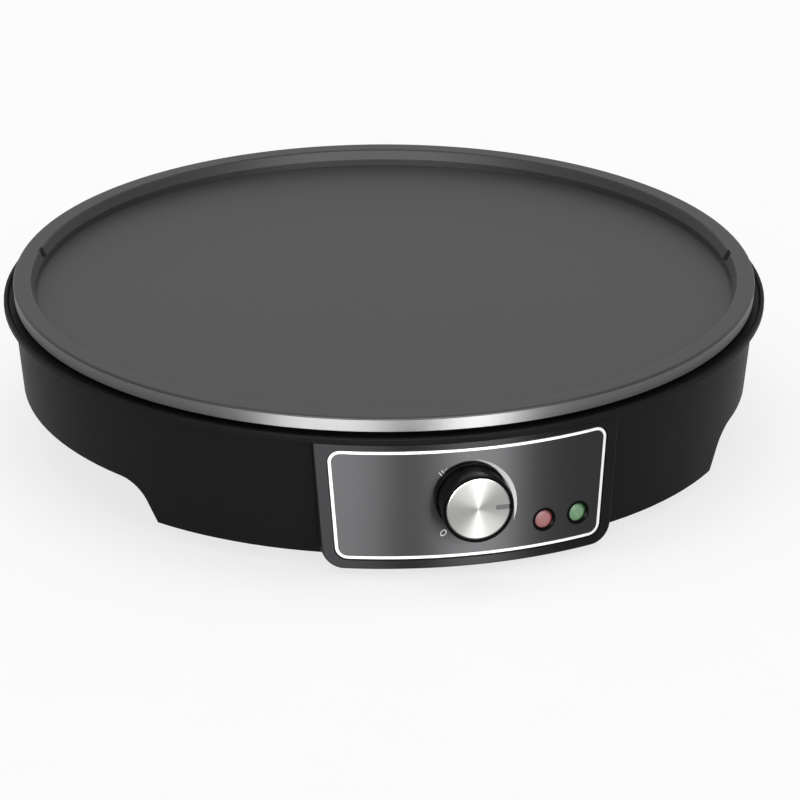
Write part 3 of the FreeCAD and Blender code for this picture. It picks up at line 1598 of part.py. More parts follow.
def wiring():
    """Inner leads and the sensing line, each from its own terminal to the next."""
    tab_middle = terminal_height + tab_thickness / 2
    tab_end = -(thermostat_back - tab_length) + free_gap
    heater_end = -(cold_end - bead_length - tab_length) + free_gap
    block_entry = block_near + pole_screw_inset
    far = block_near - 6
    ramp = cutout_foot_half - 4
    under = (reflector_top + strap_level) / 2 - 0.2
    roof = reflector_bottom - 12
    behind = -(resistor_back - free_gap)

    left_tab = knob_side - terminal_side
    right_tab = knob_side + terminal_side
    lead("live_lead", lead_radius, [
        (left_tab, tab_end, tab_middle),
        (left_tab, tab_end + 17, tab_middle),
        (-30, -70, roof),
        (-36, 20, roof),
        (-6, ramp - 10.5, roof + 1),
        (0, ramp + 3, roof - 3),
        (0, far, pole_level),
        (0, block_entry, pole_level),
    ])
    lead("neutral_lead", lead_radius, [
        (fuse_half + free_gap, fuse_line, sleeve_level),
        (fuse_half + 12, fuse_line, sleeve_level),
        (26, 36, under + 2),
        (26, 52, roof + 3),
        (12, ramp - 10.5, roof),
        (pole_pitch, ramp + 3, roof - 3),
        (pole_pitch, far, pole_level),
        (pole_pitch, block_entry, pole_level),
    ])
    earth_end = earth_line + earth_reach + free_gap
    lead("earth_lead", lead_radius, [
        (-earth_side, earth_end, strap_level - tab_thickness / 2),
        (-earth_side, earth_end + 9, strap_level - 1),
        (-28, 58, roof + 3),
        (-12, ramp - 9.5, roof),
        (-pole_pitch, ramp + 3, roof - 3),
        (-pole_pitch, far, pole_level),
        (-pole_pitch, block_entry, pole_level),
    ])
    lead("heater_lead", lead_radius, [
        (pin_spread, heater_end, element_level),
        (pin_spread, heater_end + 10, element_level),
        (pin_spread, heater_end + 15, roof + 4),
        (4, -60, roof - 2),
        (knob_side, tab_end + 20.7, tab_middle),
        (knob_side, tab_end, tab_middle),
    ])
    lead("fuse_lead", lead_radius, [
        (-pin_spread, heater_end, element_level),
        (-pin_spread, heater_end + 8, element_level),
        (-19, -27, under),
        (-26, 0, under),
        (-22, fuse_line, sleeve_level),
        (-fuse_half - free_gap, fuse_line, sleeve_level),
    ])
    tube_side = knob_side - thermostat_half + 4
    tube_level = knob_height + 3.5
    lead("capillary_tube", tube_radius, [
        (tube_side, -thermostat_back + free_gap, tube_level),
        (tube_side - 6, -thermostat_back + 25, tube_level),
        (-24, -72, tube_level + 2),
        (-27, -52, under + 3),
        (-46, -44, sleeve_level),
        (-58, -34, sleeve_level),
        (-56, -bulb_line, sleeve_level),
        (-bulb_half - free_gap, -bulb_line, sleeve_level),
    ])
    routes = []
    spans = (
        (red_turn, right_tab + 1.5, tab_end + 16.7, 22),
        (green_turn, right_tab - 1.5, tab_end + 24.7, 26),
    )
    for turn, end_side, loop, outer in spans:
        out = sine(turn)
        forward = cosine(turn)
        inner = resistor_back - 14
        routes.append([
            ((resistor_back - free_gap) * out, behind * forward, lamp_height),
            (inner * out, -inner * forward, lamp_height),
            (outer, loop, tab_middle),
            (end_side, loop, tab_middle),
            (end_side, tab_end, tab_middle),
        ])
    lead("lamp_leads", lamp_lead_radius, *routes)


def check_everything():
    """Stops the build where any object failed, a cut removed nothing, or a piece isn't sound."""
    doc.recompute()
    for item in doc.Objects:
        if "Invalid" in item.State or "Error" in item.State:
            raise RuntimeError(f"{item.Label} failed: {item.State}")
    for cut in cuts:
        base = cut.BaseFeature.Shape.Volume
        if cut.Shape.Volume > base - 0.01:
            raise RuntimeError(f"{cut.Label} removed nothing")
    for piece in pieces:
        if piece.Shape.isNull() or not piece.Shape.isValid() or not piece.Shape.Solids:
            raise RuntimeError(f"{piece.Label} isn't a sound solid")


griddle_plate()
heating_element()
heater_insulators()
heater_terminals()
element_clips()
clip_screws()
sleeve("thermostat_bulb", bulb_half, -bulb_line)
strap("bulb_clip", 0, -bulb_boss_line, -bulb_line)
sleeve("thermal_fuse", fuse_half, fuse_line)
strap("fuse_clip", 0, fuse_boss_line, fuse_line)
earth_tab()
earth_screw()
heat_reflector()
screws_up("plate_screws", corners(post_side, post_line), screw_seat,
          reflector_top + plate_screw_reach - screw_seat, main_shank, main_head, main_head_rise)
base_housing()
bottom_cover()
screws_up("cover_screws", corners(stem_side, stem_line), floor_low,
          floor_sheet + stem_screw_reach, small_shank, small_head, small_head_rise)
rubber_feet()
control_bezel()
screws_forward("bezel_screws", bezel_screw_places, bezel_screw_seat, bezel_screw_reach,
               small_shank, small_head, small_head_rise, head_in_front=False)
fascia_panel()
trim_line()
knob_body()
knob_cap()
knob_pointer()
thermostat_spindle()
knob_spring_clip()
thermostat_body()
thermostat_frame()
screws_forward("thermostat_screws", [(knob_side + control_screw_side, knob_height),
                                     (knob_side - control_screw_side, knob_height)],
               control_screw_seat, control_screw_reach, main_shank, main_head, main_head_rise,
               head_in_front=True)
thermostat_terminals()
for colour, lamp_turn in (("red", red_turn), ("green", green_turn)):
    lens(f"{colour}_lens", lamp_turn)
    lens_ring(f"{colour}_lens_ring", lamp_turn)
    lamp_holder(f"{colour}_lamp_holder", lamp_turn)
    neon_lamp(f"{colour}_neon_lamp", lamp_turn)
    resistor(f"{colour}_resistor", lamp_turn)
cord_grommet()
cord_clamp()
screws_down("cord_clamp_screws", [(clamp_side, clamp_line), (-clamp_side, clamp_line)],
            clamp_seat + clamp_sheet, clamp_sheet + clamp_screw_reach,
            small_shank, small_head, small_head_rise)
terminal_block()
terminal_screws()
screws_down("block_screw", [(pole_pitch / 2, block_near + block_depth / 2)], block_top,
            block_rise + floor_sheet, small_shank, small_head, small_head_rise)
wiring()
check_everything()

for piece in pieces:
    piece.Shape.exportStep(f"parts/{piece.Label}.step")
print(f"{len(pieces)} pieces written")
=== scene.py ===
# %% [markdown]
# # A countertop crepe maker, dressed in Blender
# The shapes of this object come ready made: a cast plate, a moulded base, a control panel and a knob.
# This lesson loads them, gives each one the surface of its real material, and adds the thin printed marks
# round the knob. It is written for somebody who is learning Blender, one small step at a time.

# %% Load the model
import math

import bpy
from mathutils import Matrix, Vector


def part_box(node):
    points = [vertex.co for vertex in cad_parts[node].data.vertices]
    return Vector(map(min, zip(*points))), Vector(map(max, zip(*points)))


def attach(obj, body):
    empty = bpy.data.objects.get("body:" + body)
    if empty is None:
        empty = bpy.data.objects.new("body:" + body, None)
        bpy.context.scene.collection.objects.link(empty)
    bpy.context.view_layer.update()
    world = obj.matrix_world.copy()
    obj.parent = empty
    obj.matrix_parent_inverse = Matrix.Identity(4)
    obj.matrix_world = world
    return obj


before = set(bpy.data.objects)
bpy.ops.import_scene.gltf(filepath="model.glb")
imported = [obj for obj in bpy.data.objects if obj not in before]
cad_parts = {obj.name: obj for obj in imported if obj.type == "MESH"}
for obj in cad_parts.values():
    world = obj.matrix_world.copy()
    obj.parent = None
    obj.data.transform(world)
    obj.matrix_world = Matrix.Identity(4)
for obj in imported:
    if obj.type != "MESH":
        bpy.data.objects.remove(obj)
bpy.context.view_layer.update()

# %% [markdown]
# ## Millimetres, and where things are
# Blender works in metres and a maker thinks in millimetres, so one small function turns one into the
# other. The plate's upright axis is the centre that everything is built round. It isn't at the origin,
# because the knob reaches out in front, so it is read from the plate's own box.

# %% Units and the plate's axis


def mm(value):
    """Millimetres to metres."""
    return value / 1000.0


plate_low, plate_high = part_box("griddle_plate")
axis_y = (plate_low[1] + plate_high[1]) / 2
panel_low, panel_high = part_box("fascia_panel")
panel_radius = axis_y - panel_low[1]
print("plate axis at y", round(axis_y, 5), "panel radius", round(panel_radius, 5))

# %% [markdown]
# ## The camera
# The picture was taken from a little to the left of the front and from above, with a long lens, as product
# pictures are: the far edge of the plate is hardly smaller than the near one. A long lens far away gives
# that flat look. The point that the camera aims at lies on the plate's axis, and a small shift of the
# frame puts the object where the picture has it.

# %% Camera
lens_length = 256.0
camera_distance = 2.5
camera_turn = math.radians(-13.0)
camera_lift = math.radians(22.32)
aim = Vector((0.0, axis_y, 0.040))
sight = Vector((
    math.sin(camera_turn) * math.cos(camera_lift),
    -math.cos(camera_turn) * math.cos(camera_lift),
    math.sin(camera_lift),
))
bpy.ops.object.camera_add(location=aim + sight * camera_distance)
camera = bpy.context.object
camera.rotation_euler = sight.to_track_quat("Z", "Y").to_euler()
camera.data.lens = lens_length
camera.data.sensor_width = 36.0
camera.data.shift_x = 0.0201
camera.data.shift_y = -0.0798
camera.data.clip_end = 20.0
bpy.context.scene.camera = camera
print("camera at", [round(value, 3) for value in camera.location])

# %% [markdown]
# ## A floor and plain light
# The object stands on a pale floor that runs out of sight. The world is white where the camera or a
# reflection looks at it, and a soft grey where it lights the object, so that colours come out about as
# they are written. The view transform is Standard for the same reason.

# %% Floor and world
bpy.context.scene.view_settings.view_transform = "Standard"


def linear(code):
    """An sRGB hex colour such as #5A5A5A as linear red, green, blue and full alpha."""
    parts = [int(code[place:place + 2], 16) / 255 for place in (1, 3, 5)]
    parts = [part / 12.92 if part <= 0.04045 else ((part + 0.055) / 1.055) ** 2.4 for part in parts]
    return (*parts, 1.0)


def add(tree, kind, settings=None, **links):
    """Adds one node, with its settings, its socket values and its incoming links."""
    node = tree.nodes.new(kind)
    for name, value in (settings or {}).items():
        setattr(node, name, value)
    for name, value in links.items():
        socket = node.inputs[int(name[1:])] if name[1:].isdigit() else node.inputs[name.replace("_", " ")]
        if isinstance(value, bpy.types.NodeSocket):
            tree.links.new(value, socket)
        else:
            socket.default_value = value
    return node


def seen_rays(tree):
    """1 where the camera or a reflection looks straight at a surface, and 0 where it only lights others."""
    rays = add(tree, "ShaderNodeLightPath")
    seen = add(tree, "ShaderNodeMath", {"operation": "MAXIMUM"}, _0=rays.outputs["Is Camera Ray"],
               _1=rays.outputs["Is Glossy Ray"])
    return add(tree, "ShaderNodeMath", {"operation": "MAXIMUM"}, _0=seen.outputs[0],
               _1=rays.outputs["Is Transmission Ray"]).outputs[0]


world = bpy.data.worlds.new("soft_studio")
bpy.context.scene.world = world
world.use_nodes = True
sky = world.node_tree
sky.nodes.clear()
lighting = add(sky, "ShaderNodeBackground", Color=linear("#FFFFFF"), Strength=0.7)
backdrop = add(sky, "ShaderNodeBackground", Color=linear("#FFFFFF"), Strength=1.0)
both = add(sky, "ShaderNodeMixShader", _0=seen_rays(sky), _1=lighting.outputs[0],
           _2=backdrop.outputs[0])
add(sky, "ShaderNodeOutputWorld", Surface=both.outputs[0])

bpy.ops.object.select_all(action="DESELECT")
bpy.ops.mesh.primitive_plane_add(size=30.0, location=(0.0, 0.0, 0.0))
floor = bpy.context.object
floor.name = "floor"
print("floor and world ready")

# %% [markdown]
# ## Lamps
# A large soft lamp overhead and the world light the object evenly, at a level at which colours come out
# about as they are written. Two bright reflectors stand low in front, one on each side of the camera. They
# are there only to be mirrored, so their diffuse light is switched off: they draw upright pale bands on
# the turned rim, the panel and the knob's disc, and they don't wash out the colours.

# %% Lamps


def soft_lamp(name, place, towards, width, height, watts):
    """A rectangular area lamp at a place, facing a point."""
    bpy.ops.object.light_add(type="AREA", location=place)
    lamp = bpy.context.object
    lamp.name = name
    lamp.data.shape = "RECTANGLE"
    lamp.data.size = width
    lamp.data.size_y = height
    lamp.data.energy = watts
    facing = Vector(towards) - Vector(place)
    lamp.rotation_euler = facing.to_track_quat("-Z", "Y").to_euler()
    return lamp


def round_the_front(angle, distance, height):
    """A place at an angle round the object from its front, in degrees, towards +X."""
    turn = math.radians(angle)
    return (distance * math.sin(turn), axis_y - distance * math.cos(turn), height)


soft_lamp("overhead_lamp", (0.0, 0.4, 2.2), (0.0, axis_y, 0.04), 1.6, 1.2, 14.0)
reflector_distance, reflector_height, reflector_tall = 1.7, 0.46, 0.85
above_the_plate = (0.0, axis_y, 0.2)
for name, angle, width, watts in (("left_reflector", -29, 1.0, 72.0), ("right_reflector", 13, 0.6, 66.0)):
    reflector = soft_lamp(name, round_the_front(angle, reflector_distance, reflector_height), above_the_plate,
                          width, reflector_tall, watts)
    reflector.visible_diffuse = False

# %% [markdown]
# ## Making a material
# Every surface here starts the same way: a Principled shader, and a texture coordinate that reads the
# object's own space, so that patterns stay put on the part. Each finish then adds its own grain.

# %% Material starter


def start_material(name, colour, metallic, roughness, **settings):
    """A material with a Principled shader, and the object's own coordinates to lay patterns by."""
    material = bpy.data.materials.new(name)
    material.use_nodes = True
    tree = material.node_tree
    tree.nodes.clear()
    shader = add(tree, "ShaderNodeBsdfPrincipled", Base_Color=linear(colour), Metallic=metallic,
                 Roughness=roughness, **settings)
    add(tree, "ShaderNodeOutputMaterial", Surface=shader.outputs[0])
    place = add(tree, "ShaderNodeTexCoord").outputs["Object"]
    return material, tree, shader, place


def grain(tree, shader, place, size_mm, depth_mm):
    """Fine bumps of a real size, such as moulding texture, or lines where the place changes one way only."""
    noise = add(tree, "ShaderNodeTexNoise", Vector=place, Scale=1000.0 / size_mm, Detail=2.0)
    bump = add(tree, "ShaderNodeBump", Height=noise.outputs[0], Strength=1.0, Distance=mm(depth_mm))
    tree.links.new(bump.outputs[0], shader.inputs["Normal"])


def mottle(tree, shader, place, colour, other, size_mm, low, high):
    """A slow change between two near colours, and between two near roughnesses, as real surfaces have."""
    cloud = add(tree, "ShaderNodeTexNoise", Vector=place, Scale=1000.0 / size_mm, Detail=3.0)
    mixed = add(tree, "ShaderNodeMix", {"data_type": "RGBA"}, Factor=cloud.outputs[0], _6=linear(colour),
                _7=linear(other))
    tree.links.new(mixed.outputs[2], shader.inputs["Base Color"])
    spread = add(tree, "ShaderNodeMapRange", Value=cloud.outputs[0], _3=low, _4=high)
    tree.links.new(spread.outputs[0], shader.inputs["Roughness"])


def across_the_lines(tree, place):
    """The direction across lines that run round the plate's axis: up a wall, and outwards on a flat."""
    arm = add(tree, "ShaderNodeVectorMath", {"operation": "SUBTRACT"}, _0=place, _1=(0.0, axis_y, 0.0))
    level = add(tree, "ShaderNodeVectorMath", {"operation": "MULTIPLY"}, _0=arm.outputs[0],
                _1=(1.0, 1.0, 0.0))
    outwards = add(tree, "ShaderNodeVectorMath", {"operation": "NORMALIZE"}, _0=level.outputs[0])
    return add(tree, "ShaderNodeVectorMath", {"operation": "ADD"}, _0=outwards.outputs[0],
               _1=(0.0, 0.0, 1.0)).outputs[0]


def from_the_middle(tree, place, node):
    """Where a place is from the middle of a node's front, flat across it, and how far that is."""
    low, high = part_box(node)
    middle = tuple((small + large) / 2 for small, large in zip(low, high))
    off = add(tree, "ShaderNodeVectorMath", {"operation": "SUBTRACT"}, _0=place, _1=middle)
    flat = add(tree, "ShaderNodeVectorMath", {"operation": "MULTIPLY"}, _0=off.outputs[0],
               _1=(1.0, 0.0, 1.0))
    reach = add(tree, "ShaderNodeVectorMath", {"operation": "LENGTH"}, _0=flat.outputs[0])
    return flat.outputs[0], reach.outputs["Value"]


def wear(node, material):
    """Gives one of the model's nodes its finish."""
    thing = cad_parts[node]
    thing.data.materials.clear()
    thing.data.materials.append(material)


# %% [markdown]
# ## Non-stick coated cast aluminium
# The plate is cast, sprayed with a dark grey non-stick coat and baked. The coat is even and nearly matt,
# with a very fine speckle, and it turns pale where the eye meets it at a low angle. The speckle is
# really about 0.2 mm across, and is drawn at 0.6 mm so that it can be seen at all.

# %% Plate coat
coat, tree, shader, place = start_material("baked_nonstick_coat", "#363636", 0.0, 0.45,
                                           Specular_IOR_Level=0.2)
mottle(tree, shader, place, "#343434", "#383838", 0.6, 0.42, 0.48)
grain(tree, shader, place, 0.6, 0.004)
wear("griddle_plate", coat)
print("plate coat done")

# %% [markdown]
# ## Moulded black plastic
# The base is moulded in black nylon with glass in it, which stands the heat. The mould was textured, so
# the skin is nearly matt and turns paler only at the edges of the form. The grain is half a millimetre.

# %% Base plastic
base_plastic, tree, shader, place = start_material("moulded_black_nylon", "#1C1C1D", 0.0, 0.45,
                                                   Specular_IOR_Level=0.03)
mottle(tree, shader, place, "#1A1A1B", "#1E1E1F", 9.0, 0.42, 0.48)
grain(tree, shader, place, 0.5, 0.002)
wear("base_housing", base_plastic)

cover_plastic, tree, shader, place = start_material("spark_textured_black_nylon", "#1C1C1C", 0.0, 0.55)
mottle(tree, shader, place, "#191919", "#202020", 6.0, 0.5, 0.6)
grain(tree, shader, place, 0.8, 0.03)
for node in ("bottom_cover", "cord_clamp"):
    wear(node, cover_plastic)
print("base plastics done")

# %% [markdown]
# ## Lacquered panel
# The curved panel and its frame are sprayed with a dark lacquer full of metal flake and brushed along
# their length while it is soft. Lines that run round the object smear a lamp's reflection up and down, so
# each lamp draws an upright streak. Anisotropy does that. Cycles stretches a highlight along the tangent,
# so the tangent is laid across the lines and not along them. The frame got a thinner coat, and is darker.
# The thin line round the panel is plastic with a satin plating.

# %% Panel lacquer


def flake_lacquer(node, name, colour, other):
    """A brushed dark lacquer with metal flake in it, on one node."""
    material, tree, shader, place = start_material(name, colour, 0.95, 0.42, Anisotropic=0.9)
    mottle(tree, shader, place, colour, other, 0.5, 0.4, 0.44)
    grain(tree, shader, place, 0.4, 0.001)
    tree.links.new(across_the_lines(tree, place), shader.inputs["Tangent"])
    wear(node, material)


flake_lacquer("fascia_panel", "brushed_dark_flake_lacquer", "#313132", "#353536")
flake_lacquer("control_bezel", "thin_dark_flake_lacquer", "#1B1B1C", "#1E1E1F")

plating, tree, shader, place = start_material("satin_plated_abs", "#D4D4D3", 1.0, 0.4)
mottle(tree, shader, place, "#D0D0CF", "#D8D8D7", 4.0, 0.36, 0.44)
wear("trim_line", plating)
print("panel lacquer done")

# %% [markdown]
# ## The knob
# The knob is moulded in glossy black. Its face is an aluminium disc that was turned on a lathe with fine
# circular scratches, and each scratch throws the lamps back as a bright fan from the centre. The fan comes
# from anisotropy with its tangent pointing out from the knob's own axis, across the scratches.

# %% Knob finishes
knob_plastic, tree, shader, place = start_material("glossy_black_abs", "#0D0D0D", 0.0, 0.28,
                                                   Specular_IOR_Level=0.025)
mottle(tree, shader, place, "#0C0C0C", "#0F0F0F", 5.0, 0.25, 0.31)
for node in ("knob_body", "red_lens_ring", "green_lens_ring"):
    wear(node, knob_plastic)

spun, tree, shader, place = start_material("spun_aluminium", "#949492", 1.0, 0.34, Anisotropic=0.65)
flat, reach = from_the_middle(tree, place, "knob_cap")
tangent = add(tree, "ShaderNodeVectorMath", {"operation": "NORMALIZE"}, _0=flat)
tree.links.new(tangent.outputs[0], shader.inputs["Tangent"])
rings = add(tree, "ShaderNodeCombineXYZ", X=reach)
grain(tree, shader, rings.outputs[0], 0.25, 0.004)
wear("knob_cap", spun)

pointer_paint, tree, shader, place = start_material("grey_filled_abs", "#565656", 0.0, 0.45)
mottle(tree, shader, place, "#525252", "#5A5A5A", 1.0, 0.4, 0.5)
grain(tree, shader, place, 0.3, 0.005)
wear("knob_pointer", pointer_paint)
print("knob finishes done")

# %% [markdown]
# ## Pilot lamp lenses
# The lenses are frosted, coloured polycarbonate discs set a little back in the panel. Their faces look
# pale and dusty. Towards the rim the colour is painted deeper, as painted shade from the ring round the
# recess.

# %% Lenses


def frosted_lens_with_painted_shade(node, name, pale, painted_shade_colour):
    """A frosted coloured disc, with painted shade that deepens its colour near its rim."""
    material, tree, shader, place = start_material(name, pale, 0.0, 0.5, Specular_IOR_Level=0.2)
    reach = from_the_middle(tree, place, node)[1]
    # Painted shade: the colour deepens over the last 0.8 mm towards the rim, as shade from the recess.
    painted_shade_mask = add(tree, "ShaderNodeMapRange", Value=reach, _1=mm(3.2), _2=mm(4.0))
    mixed = add(tree, "ShaderNodeMix", {"data_type": "RGBA"}, Factor=painted_shade_mask.outputs[0], _6=linear(pale),
                _7=linear(painted_shade_colour))
    tree.links.new(mixed.outputs[2], shader.inputs["Base Color"])
    grain(tree, shader, place, 0.5, 0.03)
    wear(node, material)


# The second colour of each lens is the painted shade at its rim.
frosted_lens_with_painted_shade("red_lens", "frosted_red_polycarbonate", "#B07474", "#6A0C0C")
frosted_lens_with_painted_shade("green_lens", "frosted_green_polycarbonate", "#749C74", "#0A4A12")
print("lenses done")

# %% [markdown]
# ## What the floor and the inside are made of
# The feet and the cord's grommet are rubber. Inside are plated steel screws and brackets, brass
# terminals, a copper sensing bulb, unglazed ceramic beads, and leads with coloured insulation. None of
# it shows from outside, but each piece still gets the finish that it really has.

# %% Rubber and inner metals


def plain_finish(name, nodes, colour, other, metallic, low, high, patch_mm, grain_mm, depth_mm):
    """A finish with a slow mottle and a fine grain, laid on several nodes."""
    material, tree, shader, place = start_material(name, colour, metallic, (low + high) / 2)
    mottle(tree, shader, place, colour, other, patch_mm, low, high)
    grain(tree, shader, place, grain_mm, depth_mm)
    for node in nodes:
        wear(node, material)


plain_finish("moulded_rubber", ["rubber_feet", "cord_grommet"], "#1E1E1E", "#262626", 0.0, 0.7, 0.85,
             3.0, 0.4, 0.02)
plain_finish("zinc_plated_steel", [
    "element_clips", "clip_screws", "plate_screws", "cover_screws", "bezel_screws", "thermostat_frame",
    "thermostat_screws", "thermostat_spindle", "knob_spring_clip", "bulb_clip", "fuse_clip",
    "cord_clamp_screws", "block_screw", "earth_screw", "heater_terminals",
], "#B4B6BA", "#C4C5C6", 1.0, 0.3, 0.45, 2.0, 0.3, 0.004)
plain_finish("aluminised_steel_sheet", ["heat_reflector"], "#C2C4C6", "#CDCED0", 1.0, 0.3, 0.5,
             8.0, 0.8, 0.01)
plain_finish("heat_darkened_steel", ["heating_element"], "#4C4A4A", "#5C5653", 1.0, 0.45, 0.6, 5.0, 0.5, 0.01)
plain_finish("unglazed_steatite", ["heater_insulators"], "#E6E2D8", "#EFEBE2", 0.0, 0.6, 0.75, 2.0, 0.3, 0.02)
plain_finish("plain_brass", ["thermostat_terminals", "terminal_screws", "earth_tab"], "#C9A25A", "#D2AE68",
             1.0, 0.25, 0.4, 2.0, 0.3, 0.004)
plain_finish("drawn_copper", ["capillary_tube", "thermostat_bulb"], "#C4764E", "#CE8660", 1.0, 0.25, 0.4,
             4.0, 0.4, 0.004)
plain_finish("bare_aluminium", ["thermal_fuse"], "#CFCFD0", "#D8D8D9", 1.0, 0.3, 0.4, 2.0, 0.3, 0.004)
print("metals done")

# %% Inner plastics and leads
plain_finish("phenolic_moulding", ["thermostat_body"], "#3A2A20", "#443226", 0.0, 0.5, 0.65, 3.0, 0.4, 0.02)
plain_finish("natural_nylon", ["terminal_block", "red_lamp_holder", "green_lamp_holder"], "#DDD9CC",
             "#E6E2D6", 0.0, 0.45, 0.6, 3.0, 0.4, 0.01)
plain_finish("lacquered_resistor", ["red_resistor", "green_resistor"], "#B99E70", "#C6AC80", 0.0, 0.35, 0.5,
             1.0, 0.3, 0.01)
for core, lead, colour, other in (("brown", "live_lead", "#5A3420", "#664028"),
                                  ("blue", "neutral_lead", "#2C4A86", "#345496"),
                                  ("green", "earth_lead", "#5C9A32", "#6AA83E")):
    plain_finish(core + "_silicone_insulation", [lead], colour, other, 0.0, 0.5, 0.65, 2.0, 0.3, 0.01)
plain_finish("glass_braid_sleeving", ["heater_lead", "fuse_lead", "lamp_leads"], "#D8D4C8", "#E8E5DC", 0.0,
             0.7, 0.85, 0.8, 0.5, 0.08)
glass, tree, shader, place = start_material("clear_lamp_glass", "#F2E8E0", 0.0, 0.05, Transmission_Weight=0.9)
mottle(tree, shader, place, "#F0E6DE", "#F6EEE8", 2.0, 0.03, 0.08)
for node in ("red_neon_lamp", "green_neon_lamp"):
    wear(node, glass)
print("inner plastics done")

# %% [markdown]
# ## Printed marks round the knob
# White ink is printed on the panel: a circle for off, three short strokes for the first settings, and a
# sickle that swells as the heat rises. Each mark is modelled straight ahead as a prism, as a stamp would
# be, and each is then cut to a thin shell round the curved panel, so the ink follows its curve. A mark
# stands less than a tenth of a millimetre proud.

# %% Stamp helpers
dial_height = mm(34.5)


def forward_cylinder(name, across, up, radius, front, back, vertices=128):
    """A cylinder that points to the front, placed from the middle of the dial; lengths in millimetres."""
    bpy.ops.object.select_all(action="DESELECT")
    middle = axis_y - mm(front + back) / 2
    bpy.ops.mesh.primitive_cylinder_add(vertices=vertices, radius=mm(radius), depth=mm(front - back),
                                        location=(mm(across), middle, dial_height + mm(up)),
                                        rotation=(math.pi / 2, 0.0, 0.0))
    thing = bpy.context.object
    thing.name = name
    bpy.ops.object.transform_apply(location=True, rotation=True, scale=True)
    return thing


def cut(thing, tool, operation):
    """Applies a boolean with a tool and removes the tool."""
    bpy.ops.object.select_all(action="DESELECT")
    thing.select_set(True)
    bpy.context.view_layer.objects.active = thing
    modifier = thing.modifiers.new("cut", "BOOLEAN")
    modifier.operation = operation
    modifier.solver = "EXACT"
    modifier.object = tool
    bpy.ops.object.modifier_apply(modifier=modifier.name)
    bpy.data.objects.remove(tool, do_unlink=True)


# %% [markdown]
# The sickle is one disc with a larger disc taken away. Their edges cross at the sickle's two points.

# %% Sickle, circle and strokes
stamp_front = 172.0
stamp_back = 150.0
sickle = forward_cylinder("sickle", -3.16, -5.10, 21.96, stamp_front, stamp_back, 256)
cut(sickle, forward_cylinder("bite", -8.95, -8.34, 26.66, stamp_front + 1, stamp_back - 1, 256), "DIFFERENCE")

off_mark = forward_cylinder("off_mark", 0.0, 0.0, 1.35, stamp_front, stamp_back, 64)
cut(off_mark, forward_cylinder("off_hole", 0.0, 0.0, 0.98, stamp_front + 1, stamp_back - 1, 64), "DIFFERENCE")
lean = Matrix.Rotation(math.radians(-50), 4, "Y")
stretch = lean @ Matrix.Diagonal((1.18, 1.0, 0.85, 1.0)) @ lean.inverted()
to_place = Matrix.Translation((mm(-12.7), 0.0, dial_height + mm(-15.6)))
off_mark.data.transform(to_place @ stretch @ Matrix.Translation((0.0, 0.0, -dial_height)))


def stroke(name, start, stop, width):
    """A short straight mark from one place on the dial to another, in millimetres."""
    bpy.ops.object.select_all(action="DESELECT")
    across, up = stop[0] - start[0], stop[1] - start[1]
    bpy.ops.mesh.primitive_cube_add(
        size=1.0,
        location=(mm(start[0] + stop[0]) / 2, axis_y - mm(stamp_front + stamp_back) / 2,
                  dial_height + mm(start[1] + stop[1]) / 2),
        rotation=(0.0, -math.atan2(up, across), 0.0),
        scale=(mm(math.hypot(across, up)), mm(stamp_front - stamp_back), mm(width)),
    )
    thing = bpy.context.object
    thing.name = name
    bpy.ops.object.transform_apply(location=True, rotation=True, scale=True)
    return thing


strokes = [
    stroke("first_stroke", (-14.6, 11.75), (-13.4, 10.15), 0.55),
    stroke("second_stroke", (-13.6, 12.65), (-12.45, 11.25), 0.55),
    stroke("third_stroke", (-12.6, 12.2), (-11.3, 13.4), 0.28),
]
print("stamps:", sickle.name, off_mark.name, [thing.name for thing in strokes])

# %% [markdown]
# The shell that the stamps are cut to is a tube round the plate's axis: one tall cylinder less another.
# Each stamp is cut on its own and the prints are joined afterwards, because a boolean on stamps that touch
# one another can come out empty.

# %% Ink shell


def upright_cylinder(name, radius):
    """A tall cylinder about the plate's axis; the radius in metres."""
    bpy.ops.object.select_all(action="DESELECT")
    bpy.ops.mesh.primitive_cylinder_add(vertices=720, radius=radius, depth=mm(60),
                                        location=(0.0, axis_y, dial_height))
    thing = bpy.context.object
    thing.name = name
    bpy.ops.object.transform_apply(location=True, rotation=True, scale=True)
    return thing


ink_proud, ink_sunk = mm(0.08), mm(0.04)
stamps = [sickle, off_mark, *strokes]
for stamp in stamps:
    shell = upright_cylinder("ink_shell", panel_radius + ink_proud)
    cut(shell, upright_cylinder("ink_core", panel_radius - ink_sunk), "DIFFERENCE")
    cut(stamp, shell, "INTERSECT")
    print(stamp.name, "print has", len(stamp.data.polygons), "faces")
bpy.ops.object.select_all(action="DESELECT")
for thing in stamps:
    thing.select_set(True)
bpy.context.view_layer.objects.active = sickle
bpy.ops.object.join()
dial_marks = bpy.context.object
dial_marks.name = "dial_marks"
print("dial marks:", len(dial_marks.data.polygons), "faces")

# %% Ink
ink, tree, shader, place = start_material("white_screen_ink", "#F2F2F0", 0.0, 0.5)
mottle(tree, shader, place, "#EFEFED", "#F5F5F4", 0.8, 0.45, 0.55)
grain(tree, shader, place, 0.3, 0.003)
dial_marks.data.materials.clear()
dial_marks.data.materials.append(ink)
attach(dial_marks, "base")

# %% [markdown]
# ## The bare edge of the plate
# After coating, the plate's outer wall is turned bright on a lathe, which leaves fine lines that run round
# it. It is a ring about five millimetres high. Here it starts as an open cone with 512 sides, narrower at
# the bottom like the wall and a hair outside it, and a Solidify modifier thickens it inwards into a ring.

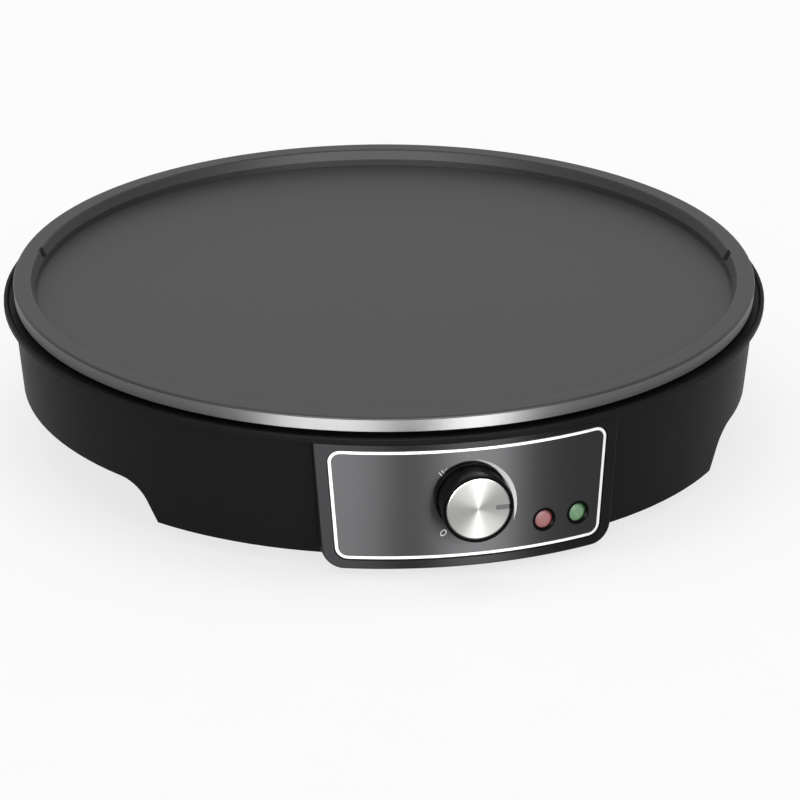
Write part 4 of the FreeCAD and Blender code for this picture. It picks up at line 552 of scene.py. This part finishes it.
# %% Bare edge band
rim_radius = (plate_high[0] - plate_low[0]) / 2
rim_top = plate_high[2]
band_low_radius, band_high_radius = rim_radius - mm(0.34), rim_radius + mm(0.07)
band_height, band_drop = mm(5.2), mm(3.6)
bpy.ops.object.select_all(action="DESELECT")
bpy.ops.mesh.primitive_cone_add(vertices=512, radius1=band_low_radius, radius2=band_high_radius,
                                depth=band_height, end_fill_type="NOTHING",
                                location=(0.0, axis_y, rim_top - band_drop))
rim_band = bpy.context.object
rim_band.name = "rim_band"
bpy.ops.object.transform_apply(location=True, rotation=True, scale=True)
thickness = rim_band.modifiers.new("thickness", "SOLIDIFY")
thickness.thickness = mm(0.3)
thickness.offset = -1.0
bpy.ops.object.modifier_apply(modifier=thickness.name)
bpy.ops.object.shade_smooth_by_angle(angle=math.radians(40))
print("rim band:", len(rim_band.data.polygons), "faces")

# %% Turned aluminium
turned, tree, shader, place = start_material("lathe_turned_aluminium", "#6E6E6E", 1.0, 0.45, Anisotropic=0.9)
mottle(tree, shader, place, "#6B6B6B", "#717171", 3.0, 0.42, 0.48)
tree.links.new(across_the_lines(tree, place), shader.inputs["Tangent"])
height = add(tree, "ShaderNodeSeparateXYZ", Vector=place)
level = add(tree, "ShaderNodeCombineXYZ", Z=height.outputs["Z"])
grain(tree, shader, level.outputs[0], 0.4, 0.01)
rim_band.data.materials.append(turned)
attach(rim_band, "base")

# %% [markdown]
# ## The floor's own finish
# The floor is pale card. It has a slight tooth, and it takes the object's shadow. Where the camera or a
# reflection sees it, three parts of plain white light are mixed in, so that it joins the white backdrop.

# %% Floor finish
card, tree, shader, place = start_material("pale_card", "#F4F4F4", 0.0, 0.8)
mottle(tree, shader, place, "#F2F2F2", "#F7F7F7", 40.0, 0.75, 0.85)
share = add(tree, "ShaderNodeMath", {"operation": "MULTIPLY"}, _0=seen_rays(tree), _1=0.75)
glow = add(tree, "ShaderNodeEmission", Color=linear("#FFFFFF"), Strength=1.0)
joined = add(tree, "ShaderNodeMixShader", _0=share.outputs[0], _1=shader.outputs[0], _2=glow.outputs[0])
output = [node for node in tree.nodes if node.type == "OUTPUT_MATERIAL"][0]
tree.links.new(joined.outputs[0], output.inputs["Surface"])
floor.data.materials.clear()
floor.data.materials.append(card)
print("floor finished")
